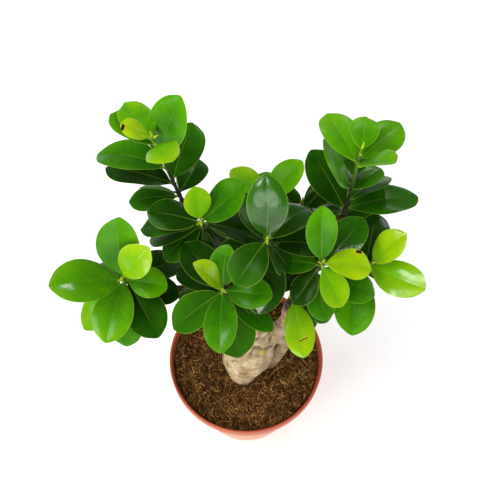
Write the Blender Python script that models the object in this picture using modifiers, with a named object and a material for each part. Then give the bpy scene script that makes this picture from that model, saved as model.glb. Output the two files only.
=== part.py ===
"""A potted ginseng ficus: a small fig tree on swollen roots, in potting soil in a round nursery pot.

The wood is one solid, from the root tips in the soil to the cut ends of the branches. Each leafy
stem is a solid of its own that stands on the cut end of its branch. Sizes are written in
millimetres and multiplied by MM, because Blender's unit here is the metre.
The frame has its origin under the middle of the pot, +Z up, and -Y towards the plant's front.
"""

import math

import bmesh
import bpy
from mathutils import Matrix, Vector

MM = 0.001
FIT_GAP = 0.3 * MM

# The pot, a thin tapered plastic cup with a thicker band round its mouth
POT_HEIGHT = 95 * MM
POT_RIM_RADIUS = 60.5 * MM
POT_BASE_RADIUS = 42.5 * MM
POT_WALL = 1.4 * MM
POT_FLOOR = 1.6 * MM
RIM_BAND_HEIGHT = 9 * MM
RIM_LIP = 2.4 * MM
RIM_ROUNDING = 0.8 * MM
POT_SIDES = 48
DRAIN_HOLES = 6
DRAIN_HOLE_RADIUS = 3.5 * MM
DRAIN_CIRCLE_RADIUS = 28 * MM

# The soil, which ends below the rim and rises a little to the trunk
SOIL_EDGE_BELOW_RIM = 9 * MM
SOIL_MOUND = 2 * MM
SOIL_RINGS = 5
SOIL_LUMP_HEIGHT = 0.7 * MM
SOIL_LUMP_SPACING = 13 * MM

# The wood
VOXEL = 1.5 * MM
WOOD_SMOOTHING_STEPS = 3
WOOD_KEPT_FACES = 0.07
ROOT_HOLE_GAP = 0.7 * MM
BRANCH_END_RADIUS = 3.0
BRANCH_END_PAST_CUT = 2.0
BRANCH_CUT_RADIUS = 5.5 * MM
BRANCH_CUT_LENGTH = 9 * MM

# The leafy stems
STEM_BASE_RADIUS = 1.6 * MM
STEM_TIP_RADIUS = 0.9 * MM
BUD_RADIUS = 0.3 * MM
BUD_LENGTH = 7 * MM
STEM_SIDES = 8

# One leaf: a narrow stalk that widens into an oval blade, folded along its midrib and arched
STALK_LENGTH = 6 * MM
STALK_HALF_WIDTH = 0.7 * MM
BLADE_WIDTH_OF_LENGTH = 0.64
BLADE_THICKNESS = 0.8 * MM
BLADE_STEPS = 5
BLADE_FOLD = math.radians(12)
BLADE_ARCH = 0.04
# The blade's half-width follows s ** BASE_POWER * (1 - s) ** TIP_POWER, with s from base to tip
BASE_POWER = 0.85
TIP_POWER = 0.6

# The swollen roots, each from the trunk down into the soil, and the trunk itself.
# A row is x, y, z and the radius there, in millimetres.
ROOTS = {
    "front_lobe": [
        (2, 9, 170, 6), (3, 8, 162, 8), (4, 5, 150, 10.5), (4, 1, 136, 14.5),
        (3, -3, 122, 20), (1, -8, 108, 19), (-1, -14, 93, 11.5), (-1, -17, 77, 6),
    ],
    "left_root": [(0, 2, 119, 11), (-12, 12, 101, 9), (-17, 18, 77, 6)],
    "back_root": [(5, 8, 120, 12), (10, 22, 101, 9), (12, 30, 77, 6)],
    "bent_root": [
        (13, 4, 127, 8), (26, 4, 123, 6), (31, 4, 111, 5.4), (28, 1, 98, 5.2),
        (22, -5, 88, 4.8), (18, -9, 76, 4),
    ],
}
RIGHT_LIMB = [(11, 5, 124, 9), (24, 7, 131, 7), (30, 9, 148, 5.4), (31, 9, 166, 4.8)]

# Branches. Each runs from the wood to the base of the leafy stem that has its name.
BRANCHES = {
    "upper_left": [(-14, 14, 170, 4.4), (-30, 36, 176, 3.8), (-41, 56, 194, 3.4)],
    "upper_right": [(31, 10, 166, 4.6), (46, 28, 186, 3.8), (60, 44, 204, 3.4)],
    "far_left": [
        (2, 9, 165, 6), (-14, 14, 170, 4.8), (-34, 19, 172, 4.2), (-58, 20, 172, 3.6),
        (-74, 21, 175, 3.2),
    ],
    "far_right": [(32, 11, 168, 4.2), (52, 18, 174, 3.8), (70, 27, 176, 3.4)],
    "centre_left": [(2, 9, 166, 4.8), (-12, 24, 180, 3.8), (-24, 40, 196, 3.4)],
    "centre": [(2, 9, 166, 5), (8, 14, 186, 3.9), (13, 24, 206, 3.4)],
    "front": [(2, 9, 165, 5), (-7, 9, 176, 3.8)],
    "front_right": [(31, 9, 164, 4.8), (38, 14, 178, 3.9)],
    "sprig": [(31, 9, 160, 4.4), (31, 9, 168, 3.6)],
    "back": [(2, 9, 165, 4.8), (6, 30, 176, 3.9), (12, 54, 188, 3.4)],
    "back_left": [(-14, 14, 170, 4.2), (-18, 34, 172, 3.5)],
    "back_right": [(6, 30, 176, 3.8), (24, 46, 177, 3.5)],
    "rear_right": [(46, 28, 186, 3.6), (52, 42, 182, 3.3)],
}

# The leafy stems, chosen by eye. "base" and "tip" are the ends of the stem in millimetres.
# A leaf's row is: how far below the tip it grows, the bearing it points to (0 is +X, 90 is +Y),
# how far it climbs above level, the length of its blade, and its roll about its own midrib.
SHOOTS = {
    "upper_left": {
        "base": (-43, 66, 214), "tip": (-49, 39, 314),
        "leaves": [
            (1, 193, 43, 14, -22), (7, 126, 4, 26, 0), (10, 296, 30, 24, 10), (13, 143, 9, 27, 0),
            (26, 34, 66, 36, 20), (44, 162, -7, 41, 8), (64, 74, 9, 37, 5), (70, 163, -1, 41, 10),
            (88, 67, -5, 27, 0), (92, 182, -8, 29, 0), (30, 95, -10, 28, 0), (86, 181, 12, 20, 50),
        ],
    },
    "upper_right": {
        "base": (65, 50, 222), "tip": (63, 36, 308),
        "leaves": [
            (5, 78, 3, 19, 0), (18, 115, 5, 32, 5), (13, 46, 1, 31, 5), (16, 313, 43, 24, -5),
            (50, 154, 59, 36, 13), (52, 40, 0, 21, -10), (80, 126, 30, 39, -10),
            (66, 40, -10, 32, -20), (77, 12, -3, 44, -10), (82, 150, -40, 27, 10),
            (36, 80, 0, 28, 0), (44, 80, -35, 22, 0),
        ],
    },
    "far_left": {
        "base": (-80, 21, 182), "tip": (-79, 8, 212),
        "leaves": [
            (1, 26, 47, 26, 30), (5, 88, 58, 38, 0), (9, 203, 28, 44, -10), (12, 348, 0, 23, 15),
            (15, 257, -7, 38, -10), (20, 302, -20, 38, 0), (22, 35, -20, 40, 0),
            (25, 140, -28, 34, 0), (29, 263, -44, 42, 0), (28, 347, -12, 30, 0),
            (24, 231, -9, 37, 0),
        ],
    },
    "centre_left": {
        "base": (-28, 48, 212), "tip": (-27, 29, 247),
        "leaves": [
            (1, 110, 70, 20, 0), (5, 19, 43, 34, 10), (10, 0, -25, 37, -10), (12, 172, 8, 29, -10),
            (18, 178, -13, 36, 10), (24, 182, -28, 36, 10), (29, 212, -30, 30, 0),
            (31, 262, -38, 26, 0), (32, 338, -60, 25, 0),
        ],
    },
    "centre": {
        "base": (14, 28, 220), "tip": (13, 10, 258),
        "leaves": [
            (3, 95, 68, 38, -5), (7, 233, -20, 27, 0), (12, 48, -11, 33, -10),
            (18, 336, -58, 24, 0), (32, 262, -28, 39, 0), (22, 110, 0, 28, 0), (26, 5, -15, 34, 0),
            (29, 188, -33, 34, 0), (27, 38, -46, 25, 0),
        ],
    },
    "front": {
        "base": (-14, 10, 188), "tip": (-14, -6, 224),
        "leaves": [
            (1, 167, 57, 25, 0), (4, 79, 50, 24, -15), (8, 345, 15, 27, 10), (11, 269, 5, 38, 10),
            (15, 130, 10, 35, 0), (19, 210, -25, 36, -10), (24, 286, -38, 40, 10),
            (29, 323, -12, 35, 0), (31, 173, -25, 29, 20), (30, 148, -10, 33, 0),
        ],
    },
    "front_right": {
        "base": (47, 22, 194), "tip": (48, 9, 232),
        "leaves": [
            (6, 94, 57, 33, 0), (4, 359, -11, 26, 10), (9, 306, -40, 26, 5),
            (12, 161, -23, 22, -15), (16, 43, 19, 36, 0), (20, 226, -43, 25, 0),
            (23, 340, -18, 36, 5), (27, 106, 24, 30, 10), (32, 284, -42, 30, 0),
            (27, 180, -38, 31, 0),
        ],
    },
    "far_right": {
        "base": (78, 30, 182), "tip": (83, 20, 210),
        "leaves": [
            (4, 22, 50, 27, 0), (9, 322, 20, 37, 20), (15, 75, 2, 38, 0), (20, 90, -20, 24, 20),
            (24, 261, -23, 40, 0), (26, 10, -45, 34, 0),
        ],
    },
    "sprig": {
        "base": (31, 9, 176), "tip": (33, 6, 190),
        "leaves": [
            (3, 280, -25, 35, 0), (7, 350, -30, 27, 0), (10, 315, -55, 28, 0),
        ],
    },
    "back": {
        "base": (14, 66, 200), "tip": (14, 52, 236),
        "leaves": [
            (1, 138, 10, 26, 10), (5, 43, 28, 29, -10), (9, 90, 0, 20, 0), (14, 203, -18, 31, 0),
            (18, 330, -30, 34, 0), (28, 30, -40, 36, 0), (23, 75, -35, 32, 0),
        ],
    },
    "back_left": {
        "base": (-20, 50, 186), "tip": (-21, 68, 208),
        "leaves": [
            (5, 30, 0, 28, 0), (9, 150, -10, 24, 0), (14, 110, -30, 36, 0), (19, 20, -35, 32, 0),
        ],
    },
    "back_right": {
        "base": (38, 60, 190), "tip": (38, 62, 218),
        "leaves": [
            (1, 250, 45, 22, 0), (5, 280, 35, 18, 0), (9, 36, 20, 28, 0), (14, 125, 12, 20, 0),
        ],
    },
    "rear_right": {
        "base": (56, 52, 182), "tip": (66, 68, 198),
        "leaves": [
            (1, 100, 20, 28, 0), (5, 20, 20, 30, 0), (9, 112, 14, 28, 0), (13, 70, -20, 34, 0),
        ],
    },
}

# Colours are linear red, green and blue
POT_COLOUR = (0.58, 0.09, 0.04)
SOIL_COLOUR = (0.045, 0.02, 0.01)
WOOD_COLOUR = (0.52, 0.36, 0.22)
LEAF_COLOUR = (0.04, 0.17, 0.012)


def clear_scene():
    for old in list(bpy.data.objects):
        bpy.data.objects.remove(old, do_unlink=True)


def new_collection(name):
    collection = bpy.data.collections.new(name)
    bpy.context.scene.collection.children.link(collection)
    return collection


def add_object(name, mesh, collection):
    obj = bpy.data.objects.new(name, mesh)
    collection.objects.link(obj)
    return obj


def make_material(name, colour, roughness):
    material = bpy.data.materials.new(name)
    material.use_nodes = True
    shader = material.node_tree.nodes["Principled BSDF"]
    shader.inputs["Base Color"].default_value = (*colour, 1)
    shader.inputs["Roughness"].default_value = roughness
    return material


def evaluated_mesh(obj):
    """The mesh that the object has after its modifiers, as a new mesh."""
    bpy.context.view_layer.update()
    graph = bpy.context.evaluated_depsgraph_get()
    return bpy.data.meshes.new_from_object(obj.evaluated_get(graph))


def apply_modifiers(obj):
    mesh = evaluated_mesh(obj)
    obj.modifiers.clear()
    obj.data = mesh


def make_cutter(obj):
    obj.hide_render = True
    obj.display_type = "WIRE"


def add_boolean(obj, operation, collection):
    boolean = obj.modifiers.new(operation.title(), "BOOLEAN")
    boolean.operation = operation
    boolean.solver = "EXACT"
    boolean.operand_type = "COLLECTION"
    boolean.collection = collection
    return boolean


def turned(name, profile, collection):
    """A solid of revolution about Z. The profile is a list of (radius, height)."""
    mesh = bpy.data.meshes.new(name)
    edges = [(i, i + 1) for i in range(len(profile) - 1)]
    mesh.from_pydata([(radius, 0, height) for radius, height in profile], edges, [])
    obj = add_object(name, mesh, collection)
    screw = obj.modifiers.new("Turn", "SCREW")
    screw.steps = POT_SIDES
    screw.render_steps = POT_SIDES
    screw.use_merge_vertices = True
    screw.merge_threshold = 0.01 * MM
    return obj


def cone_between(start, end, start_radius, end_radius, sides):
    """A closed cone or cylinder between two points, as a bmesh in world space."""
    shape = bmesh.new()
    along = end - start
    middle = Matrix.Translation((start + end) / 2)
    turn = along.to_track_quat("Z", "Y").to_matrix().to_4x4()
    bmesh.ops.create_cone(
        shape,
        cap_ends=True,
        segments=sides,
        radius1=start_radius,
        radius2=end_radius,
        depth=along.length,
        matrix=middle @ turn,
    )
    return shape


def object_from_bmesh(name, shape, collection):
    mesh = bpy.data.meshes.new(name)
    shape.to_mesh(mesh)
    shape.free()
    return add_object(name, mesh, collection)


def pot_inner_radius(height):
    """The radius of the pot's inner wall, which widens evenly from the floor to the lip."""
    low = POT_BASE_RADIUS - POT_WALL
    high = POT_RIM_RADIUS - RIM_LIP
    return low + (high - low) * (height - POT_FLOOR) / (POT_HEIGHT - POT_FLOOR)


def build_pot(parts, cutters):
    band_bottom = POT_HEIGHT - RIM_BAND_HEIGHT
    wall_top_radius = pot_inner_radius(band_bottom) + POT_WALL
    profile = [
        (0, POT_FLOOR),
        (pot_inner_radius(POT_FLOOR), POT_FLOOR),
        (pot_inner_radius(POT_HEIGHT - RIM_ROUNDING), POT_HEIGHT - RIM_ROUNDING),
        (POT_RIM_RADIUS - RIM_LIP + RIM_ROUNDING, POT_HEIGHT),
        (POT_RIM_RADIUS - RIM_ROUNDING, POT_HEIGHT),
        (POT_RIM_RADIUS, POT_HEIGHT - RIM_ROUNDING),
        (POT_RIM_RADIUS - RIM_ROUNDING / 2, band_bottom),
        (wall_top_radius, band_bottom - RIM_ROUNDING),
        (POT_BASE_RADIUS, RIM_ROUNDING),
        (POT_BASE_RADIUS - RIM_ROUNDING, 0),
        (0, 0),
    ]
    pot = turned("pot", profile, parts)
    for i in range(DRAIN_HOLES):
        angle = 2 * math.pi * i / DRAIN_HOLES
        centre = Vector((math.cos(angle), math.sin(angle), 0)) * DRAIN_CIRCLE_RADIUS
        down = Vector((0, 0, 2 * POT_FLOOR))
        hole = cone_between(centre - down, centre + down, DRAIN_HOLE_RADIUS, DRAIN_HOLE_RADIUS, 12)
        make_cutter(object_from_bmesh(f"drain_hole_{i + 1}", hole, cutters))
    add_boolean(pot, "DIFFERENCE", cutters)
    pot.data.materials.append(make_material("terracotta_plastic", POT_COLOUR, 0.45))
    return pot


def soil_lump(x, y):
    """Low even lumps, which keep the soil's surface from being a machined disc."""
    k = 2 * math.pi / SOIL_LUMP_SPACING
    return SOIL_LUMP_HEIGHT * math.sin(k * x + 0.6 * math.sin(k * y)) * math.sin(0.8 * k * y + 1)


def build_soil(parts, root_holes):
    edge_height = POT_HEIGHT - SOIL_EDGE_BELOW_RIM
    edge_radius = pot_inner_radius(edge_height) - FIT_GAP
    bottom = POT_FLOOR + FIT_GAP
    profile = []
    for i in range(SOIL_RINGS + 1):
        share = i / SOIL_RINGS
        profile.append((edge_radius * share, edge_height + SOIL_MOUND * (1 - share * share)))
    profile += [(pot_inner_radius(bottom) - FIT_GAP, bottom), (0, bottom)]
    soil = turned("soil", profile, parts)
    apply_modifiers(soil)
    for vertex in soil.data.vertices:
        x, y, z = vertex.co
        if z > edge_height - FIT_GAP and math.hypot(x, y) < edge_radius - FIT_GAP:
            vertex.co.z += soil_lump(x, y)
    add_boolean(soil, "DIFFERENCE", root_holes)
    soil.data.materials.append(make_material("potting_soil", SOIL_COLOUR, 0.95))
    return soil


def limb_mesh(name, rows, extra_radius=0.0):
    """A smooth tapering limb through rows of (x, y, z, radius) in millimetres, as a closed mesh."""
    curve = bpy.data.curves.new(name, "CURVE")
    curve.dimensions = "3D"
    curve.resolution_u = 4
    curve.bevel_depth = MM
    curve.bevel_resolution = 3
    curve.use_fill_caps = True
    spline = curve.splines.new("BEZIER")
    spline.bezier_points.add(len(rows) - 1)
    for point, (x, y, z, radius) in zip(spline.bezier_points, rows):
        point.co = Vector((x, y, z)) * MM
        point.radius = radius + extra_radius
        point.handle_left_type = "AUTO"
        point.handle_right_type = "AUTO"
    limb = add_object(name, curve, bpy.context.scene.collection)
    mesh = evaluated_mesh(limb)
    bpy.data.objects.remove(limb)
    shape = bmesh.new()
    shape.from_mesh(mesh)
    bmesh.ops.remove_doubles(shape, verts=shape.verts, dist=0.01 * MM)
    bmesh.ops.recalc_face_normals(shape, faces=shape.faces)
    shape.to_mesh(mesh)
    shape.free()
    return mesh


def shoot_ends(name):
    """The two ends of a leafy stem, and the direction from its base to its tip."""
    base = Vector(SHOOTS[name]["base"]) * MM
    tip = Vector(SHOOTS[name]["tip"]) * MM
    return base, tip, (tip - base).normalized()


def branch_rows(name):
    """The branch's rows, then two that carry it past the flat cut where its leafy stem stands."""
    base, _, along = shoot_ends(name)
    past = base / MM + along * BRANCH_END_PAST_CUT
    end = base / MM
    return BRANCHES[name] + [(*end, BRANCH_END_RADIUS), (*past, BRANCH_END_RADIUS)]


def build_wood(parts, branch_cuts, root_holes):
    """Roots, trunk and branches as overlapping limbs, melted into one skin by a voxel remesh."""
    limbs = [limb_mesh("right_limb", RIGHT_LIMB)]
    for name, rows in ROOTS.items():
        limbs.append(limb_mesh(name, rows))
        (x, y, z, radius), (x_up, y_up, z_up, _) = rows[-1], rows[-2]
        below = Vector((x, y, z)) + (Vector((x, y, z)) - Vector((x_up, y_up, z_up))).normalized()
        hole = limb_mesh(name + "_hole", rows + [(*below, radius)], ROOT_HOLE_GAP / MM)
        make_cutter(add_object(name + "_hole", hole, root_holes))
    for name in BRANCHES:
        limbs.append(limb_mesh(name, branch_rows(name)))
        base, _, along = shoot_ends(name)
        end = base + along * BRANCH_CUT_LENGTH
        cut = cone_between(base, end, BRANCH_CUT_RADIUS, BRANCH_CUT_RADIUS, 16)
        make_cutter(object_from_bmesh(name + "_cut", cut, branch_cuts))
    joined = bmesh.new()
    for limb in limbs:
        joined.from_mesh(limb)
    wood = object_from_bmesh("trunk", joined, parts)
    remesh = wood.modifiers.new("Melt together", "REMESH")
    remesh.mode = "VOXEL"
    remesh.voxel_size = VOXEL
    smooth = wood.modifiers.new("Smooth", "SMOOTH")
    smooth.iterations = WOOD_SMOOTHING_STEPS
    decimate = wood.modifiers.new("Fewer faces", "DECIMATE")
    decimate.ratio = WOOD_KEPT_FACES
    add_boolean(wood, "DIFFERENCE", branch_cuts)
    wood.data.materials.append(make_material("bark", WOOD_COLOUR, 0.8))
    return wood


def blade_half_width(s):
    """Half the blade's width at s, as a share of its widest half-width."""
    widest = BASE_POWER / (BASE_POWER + TIP_POWER)
    peak = widest**BASE_POWER * (1 - widest) ** TIP_POWER
    return s**BASE_POWER * (1 - s) ** TIP_POWER / peak


def leaf_frame(node, bearing, rise, roll):
    """The matrix that carries a leaf's own axes, midrib along X and face up Z, to its place."""
    bearing, rise, roll = (math.radians(angle) for angle in (bearing, rise, roll))
    turn = Matrix.Rotation(bearing, 4, "Z") @ Matrix.Rotation(-rise, 4, "Y")
    return Matrix.Translation(node) @ turn @ Matrix.Rotation(roll, 4, "X")


def build_leaf(name, length, collection):
    """A grid bent into a leaf: its first step is the stalk, and the others are the blade."""
    shape = bmesh.new()
    bmesh.ops.create_grid(shape, x_segments=BLADE_STEPS + 1, y_segments=2, size=1)
    for vertex in shape.verts:
        step = round((vertex.co.x + 1) / 2 * (BLADE_STEPS + 1))
        side = round(vertex.co.y)
        s = max(step - 1, 0) / BLADE_STEPS
        along = STALK_LENGTH + s * length if step else 0.0
        half = blade_half_width(s) * length * BLADE_WIDTH_OF_LENGTH / 2
        if step < BLADE_STEPS + 1:
            half = max(half, STALK_HALF_WIDTH)
        lift = 4 * s * (1 - s) * BLADE_ARCH * length
        vertex.co = (
            along,
            side * half * math.cos(BLADE_FOLD),
            lift + abs(side) * half * math.sin(BLADE_FOLD),
        )
    bmesh.ops.remove_doubles(shape, verts=shape.verts, dist=0.01 * MM)
    bmesh.ops.triangulate(shape, faces=shape.faces)
    leaf = object_from_bmesh(name, shape, collection)
    solidify = leaf.modifiers.new("Thickness", "SOLIDIFY")
    solidify.thickness = BLADE_THICKNESS
    solidify.offset = 0
    return leaf


def build_shoot(name, parts):
    """A leafy stem: its leaves and bud are fused to the stem, and the stem starts above its cut."""
    base, tip, along = shoot_ends(name)
    leaves = new_collection(name + "_leaves")
    start = base + along * FIT_GAP
    stem = cone_between(start, tip, STEM_BASE_RADIUS, STEM_TIP_RADIUS, STEM_SIDES)
    shoot = object_from_bmesh("shoot_" + name, stem, parts)
    bud = cone_between(tip - along * MM, tip + along * BUD_LENGTH, STEM_TIP_RADIUS * 0.9, BUD_RADIUS, 6)
    object_from_bmesh(name + "_bud", bud, leaves)
    for i, (down, bearing, rise, length, roll) in enumerate(SHOOTS[name]["leaves"]):
        leaf = build_leaf(f"{name}_leaf_{i + 1}", length * MM, leaves)
        leaf.matrix_world = leaf_frame(tip - along * down * MM, bearing, rise, roll)
    add_boolean(shoot, "UNION", leaves)
    apply_modifiers(shoot)
    for helper in list(leaves.objects):
        bpy.data.objects.remove(helper, do_unlink=True)
    bpy.data.collections.remove(leaves)
    return shoot


def main():
    clear_scene()
    parts = new_collection("potted_ginseng_ficus")
    drain_holes = new_collection("cutters_drain_holes")
    branch_cuts = new_collection("cutters_branch_ends")
    root_holes = new_collection("cutters_root_holes")
    build_pot(parts, drain_holes)
    build_wood(parts, branch_cuts, root_holes)
    build_soil(parts, root_holes)
    leaf_green = make_material("leaf", LEAF_COLOUR, 0.35)
    for name in SHOOTS:
        build_shoot(name, parts).data.materials.append(leaf_green)
    for obj in parts.objects:
        obj.data.shade_smooth()


main()
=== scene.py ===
# %% [markdown]
# # A potted ginseng ficus
# The real object is a small fig tree on roots that have swollen into a stump, sold in a nursery pot.
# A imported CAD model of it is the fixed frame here. This script loads that frame and dresses it:
# pot, soil, wood and leaves each get a finer shape and a finish, in the place the CAD gives them.

# %% Load the frame
import math
import random

import bmesh
import bpy
from mathutils import Matrix, Vector, noise


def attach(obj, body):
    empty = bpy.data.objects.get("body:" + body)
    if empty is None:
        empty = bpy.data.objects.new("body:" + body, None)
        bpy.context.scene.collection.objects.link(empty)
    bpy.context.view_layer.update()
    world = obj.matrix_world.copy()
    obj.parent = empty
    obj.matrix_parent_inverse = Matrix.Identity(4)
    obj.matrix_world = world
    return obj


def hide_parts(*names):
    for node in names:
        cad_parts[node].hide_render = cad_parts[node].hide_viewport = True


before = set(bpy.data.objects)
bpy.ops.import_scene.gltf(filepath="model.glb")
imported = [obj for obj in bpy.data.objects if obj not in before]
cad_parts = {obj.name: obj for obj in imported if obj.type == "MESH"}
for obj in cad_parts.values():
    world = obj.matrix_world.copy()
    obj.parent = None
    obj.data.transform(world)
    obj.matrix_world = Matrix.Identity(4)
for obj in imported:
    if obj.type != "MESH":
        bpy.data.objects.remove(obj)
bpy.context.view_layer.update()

MM = 0.001


print("CAD nodes:", ", ".join(sorted(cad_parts)))

# %% [markdown]
# ## The camera
# The photograph looks steeply down on the plant, so the pot's mouth is a wide ellipse and its body
# hardly shows. A camera can be set by eye, but an ellipse of known size fixes it better: the pot's
# rim gives the tilt and the distance, and the height of the leaves above it gives the lens.

# %% Camera
CAMERA_PLACE = Vector((3, -186, 582)) * MM
CAMERA_DOWN = math.radians(59.85)
CAMERA_LENS = 46.89
CAMERA_SENSOR = 36.0
NEAREST_SEEN = 10 * MM
FARTHEST_SEEN = 20


def placed(name, data):
    """A new object in the scene that shows a camera, a lamp or a mesh."""
    obj = bpy.data.objects.new(name, data)
    bpy.context.scene.collection.objects.link(obj)
    return obj


camera_data = bpy.data.cameras.new("photo_camera")
camera_data.sensor_fit = "HORIZONTAL"
camera_data.sensor_width = CAMERA_SENSOR
camera_data.lens = CAMERA_LENS
camera_data.clip_start = NEAREST_SEEN
camera_data.clip_end = FARTHEST_SEEN
camera = placed("photo_camera", camera_data)
camera.location = CAMERA_PLACE
camera.rotation_euler = (math.pi / 2 - CAMERA_DOWN, 0, 0)
bpy.context.scene.camera = camera
print("camera looks", round(math.degrees(CAMERA_DOWN), 1), "degrees below level")

# %% [markdown]
# ## Wires and benches
# Materials and Geometry Nodes are both trees of nodes. Placing each node by hand makes a script long
# and hard to follow, so two small classes do it. A Wire is one output of a node, and arithmetic on
# it adds Math nodes. A Bench is a tree being built, and its node method adds any other node.


# %% The two classes that build node trees
def arithmetic(operation, flipped=False):
    """A method for Wire that adds one Math node. Flipped is for a number on the left."""

    def method(self, *others):
        values = (*others, self) if flipped else (self, *others)
        return self.bench.math(operation, *values)

    return method


class Wire:
    """One output of a node. Arithmetic on it adds Math nodes to the same tree."""

    def __init__(self, bench, socket):
        self.bench = bench
        self.socket = socket

    def other(self, name):
        """Another output of the same node."""
        return Wire(self.bench, self.socket.node.outputs[name])

    __add__ = __radd__ = arithmetic("ADD")
    __sub__ = arithmetic("SUBTRACT")
    __rsub__ = arithmetic("SUBTRACT", flipped=True)
    __mul__ = __rmul__ = arithmetic("MULTIPLY")
    __truediv__ = arithmetic("DIVIDE")
    __rtruediv__ = arithmetic("DIVIDE", flipped=True)
    __pow__ = arithmetic("POWER")
    __abs__ = arithmetic("ABSOLUTE")


class Bench:
    """A node tree being built, of a material or of Geometry Nodes."""

    def __init__(self, tree):
        self.tree = tree

    def plug(self, value, socket):
        if isinstance(value, Wire):
            self.tree.links.new(value.socket, socket)
        else:
            socket.default_value = value

    def node(self, kind, settings=None, inputs=None, output=0):
        """Adds a node, makes its settings, fills its inputs and returns one output as a Wire."""
        node = self.tree.nodes.new(kind)
        for name, value in (settings or {}).items():
            if name == "stops":
                set_stops(node.color_ramp, value)
            else:
                setattr(node, name, value)
        for name, value in (inputs or {}).items():
            self.plug(value, node.inputs[name])
        return Wire(self, node.outputs[output])

    def math(self, operation, *values):
        return self.node("ShaderNodeMath", {"operation": operation}, dict(enumerate(values)))

    def smooth(self, value, low, high, start=0.0, end=1.0):
        """Goes softly from start to end while value goes from low to high, and stays there."""
        settings = {"interpolation_type": "SMOOTHSTEP"}
        inputs = {0: value, 1: low, 2: high, 3: start, 4: end}
        return self.node("ShaderNodeMapRange", settings, inputs)

    def fade(self, value, low, high):
        """Goes softly from 1 to 0 while value goes from low to high, and stays there."""
        return self.smooth(value, low, high, 1.0, 0.0)

    def split(self, vector):
        x = self.node("ShaderNodeSeparateXYZ", inputs={0: vector})
        return x, x.other("Y"), x.other("Z")

    def joined(self, x, y, z):
        return self.node("ShaderNodeCombineXYZ", inputs={0: x, 1: y, 2: z})

    def vector(self, operation, *values):
        return self.node("ShaderNodeVectorMath", {"operation": operation}, dict(enumerate(values)))

    def scaled(self, vector, factor):
        return self.node("ShaderNodeVectorMath", {"operation": "SCALE"}, {0: vector, 3: factor})

    def mix(self, factor, colour_a, colour_b):
        inputs = {0: factor, 6: colour_a, 7: colour_b}
        return self.node("ShaderNodeMix", {"data_type": "RGBA"}, inputs, 2)

    def layered(self, colour, *layers):
        """Lays colours over a colour. Each layer is a mask from 0 to 1 and the colour it shows."""
        for mask, over in layers:
            colour = self.mix(mask, colour, over)
        return colour

    def grain(self, coordinates, size, detail=2.0, roughness=0.5):
        """Cloudy noise from 0 to 1 whose patches are about size metres across."""
        values = {"Vector": coordinates, "Scale": 1 / size, "Detail": detail, "Roughness": roughness}
        return self.node("ShaderNodeTexNoise", inputs=values)

    def ramp(self, factor, stops):
        return self.node("ShaderNodeValToRGB", {"stops": stops}, {"Fac": factor})


def set_stops(ramp, stops):
    """Gives a colour ramp its stops, a list of (place, colour)."""
    while len(ramp.elements) < len(stops):
        ramp.elements.new(1.0)
    for element, (place, colour) in zip(ramp.elements, stops):
        element.position = place
        element.color = colour


def rgb(red, green, blue):
    """A colour for a socket, from linear red, green and blue."""
    return (red, green, blue, 1.0)


WHITE = rgb(1.0, 1.0, 1.0)
print("Wire and Bench are ready")

# %% [markdown]
# ## From a bench to a material
# Every finish here ends in one Principled shader. Colour, roughness and bump vary over the surface
# and come from nodes. A number that is the same everywhere is set on the shader's own socket.


# %% Materials from a bench
def new_finish(name):
    """An empty material and the bench for its nodes."""
    material = bpy.data.materials.new(name)
    material.use_nodes = True
    material.node_tree.nodes.clear()
    return material, Bench(material.node_tree)


def finish_surface(bench, colour, roughness, height, depth, fixed=None):
    """Ends a material. Height goes from 0 to 1 and stands for a relief of depth metres."""
    bump = bench.node("ShaderNodeBump", inputs={"Height": height, "Distance": depth})
    values = {"Base Color": colour, "Roughness": roughness, "Normal": bump, **(fixed or {})}
    shader = bench.node("ShaderNodeBsdfPrincipled", inputs=values)
    end = bench.tree.nodes.new("ShaderNodeOutputMaterial")
    bench.tree.links.new(shader.socket, end.inputs["Surface"])


def object_place(bench):
    return bench.node("ShaderNodeTexCoord").other("Object")


def carried(bench, name):
    """An attribute of the mesh, read in a material as a vector."""
    return bench.node("ShaderNodeAttribute", {"attribute_name": name}).other("Vector")


def carried_number(bench, name):
    return bench.node("ShaderNodeAttribute", {"attribute_name": name}).other("Fac")


print("materials can be made")

# %% [markdown]
# ## The studio
# The plant stands on white in a bright studio, with no shadow to be seen. The room gives soft light
# from all round, and a pale floor that gives off a little light of its own hides the shadows.
# A few round lamps stand where the waxy leaves mirror them, and draw their silver highlights.

# %% Floor
FLOOR_RADIUS = 6.0
FLOOR_SIDES = 96
FLOOR_WHITE = rgb(0.9, 0.9, 0.9)
FLOOR_GREY = rgb(0.86, 0.86, 0.87)
FLOOR_CLOUDS = 0.4
FLOOR_DULLNESS = 0.7
FLOOR_GLOW = 0.22
# How much brighter the floor glows far off, where no lamp reaches it and it would turn grey
FAR_GLOW = 3.5
FAR_FROM = 0.8
FAR_FULL = 3.0


def object_from(name, shape):
    """Turns a bmesh into an object in the scene."""
    mesh = bpy.data.meshes.new(name)
    shape.to_mesh(mesh)
    shape.free()
    return placed(name, mesh)


def make_floor():
    shape = bmesh.new()
    bmesh.ops.create_circle(shape, cap_ends=True, segments=FLOOR_SIDES, radius=FLOOR_RADIUS)
    floor = object_from("studio_floor", shape)
    material, bench = new_finish("studio_floor")
    place = object_place(bench)
    clouding = bench.grain(place, FLOOR_CLOUDS)
    colour = bench.mix(clouding, FLOOR_GREY, FLOOR_WHITE)
    from_plant = bench.vector("LENGTH", place).other("Value")
    far = bench.smooth(from_plant, FAR_FROM, FAR_FULL)
    glow = bench.mix(far, WHITE, rgb(FAR_GLOW, FAR_GLOW, FAR_GLOW))
    fixed = {"Emission Color": glow, "Emission Strength": FLOOR_GLOW}
    finish_surface(bench, colour, FLOOR_DULLNESS, clouding, 0.0, fixed)
    floor.data.materials.append(material)
    return floor


studio_floor = make_floor()
print("floor is", FLOOR_RADIUS * 2, "m across")

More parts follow.
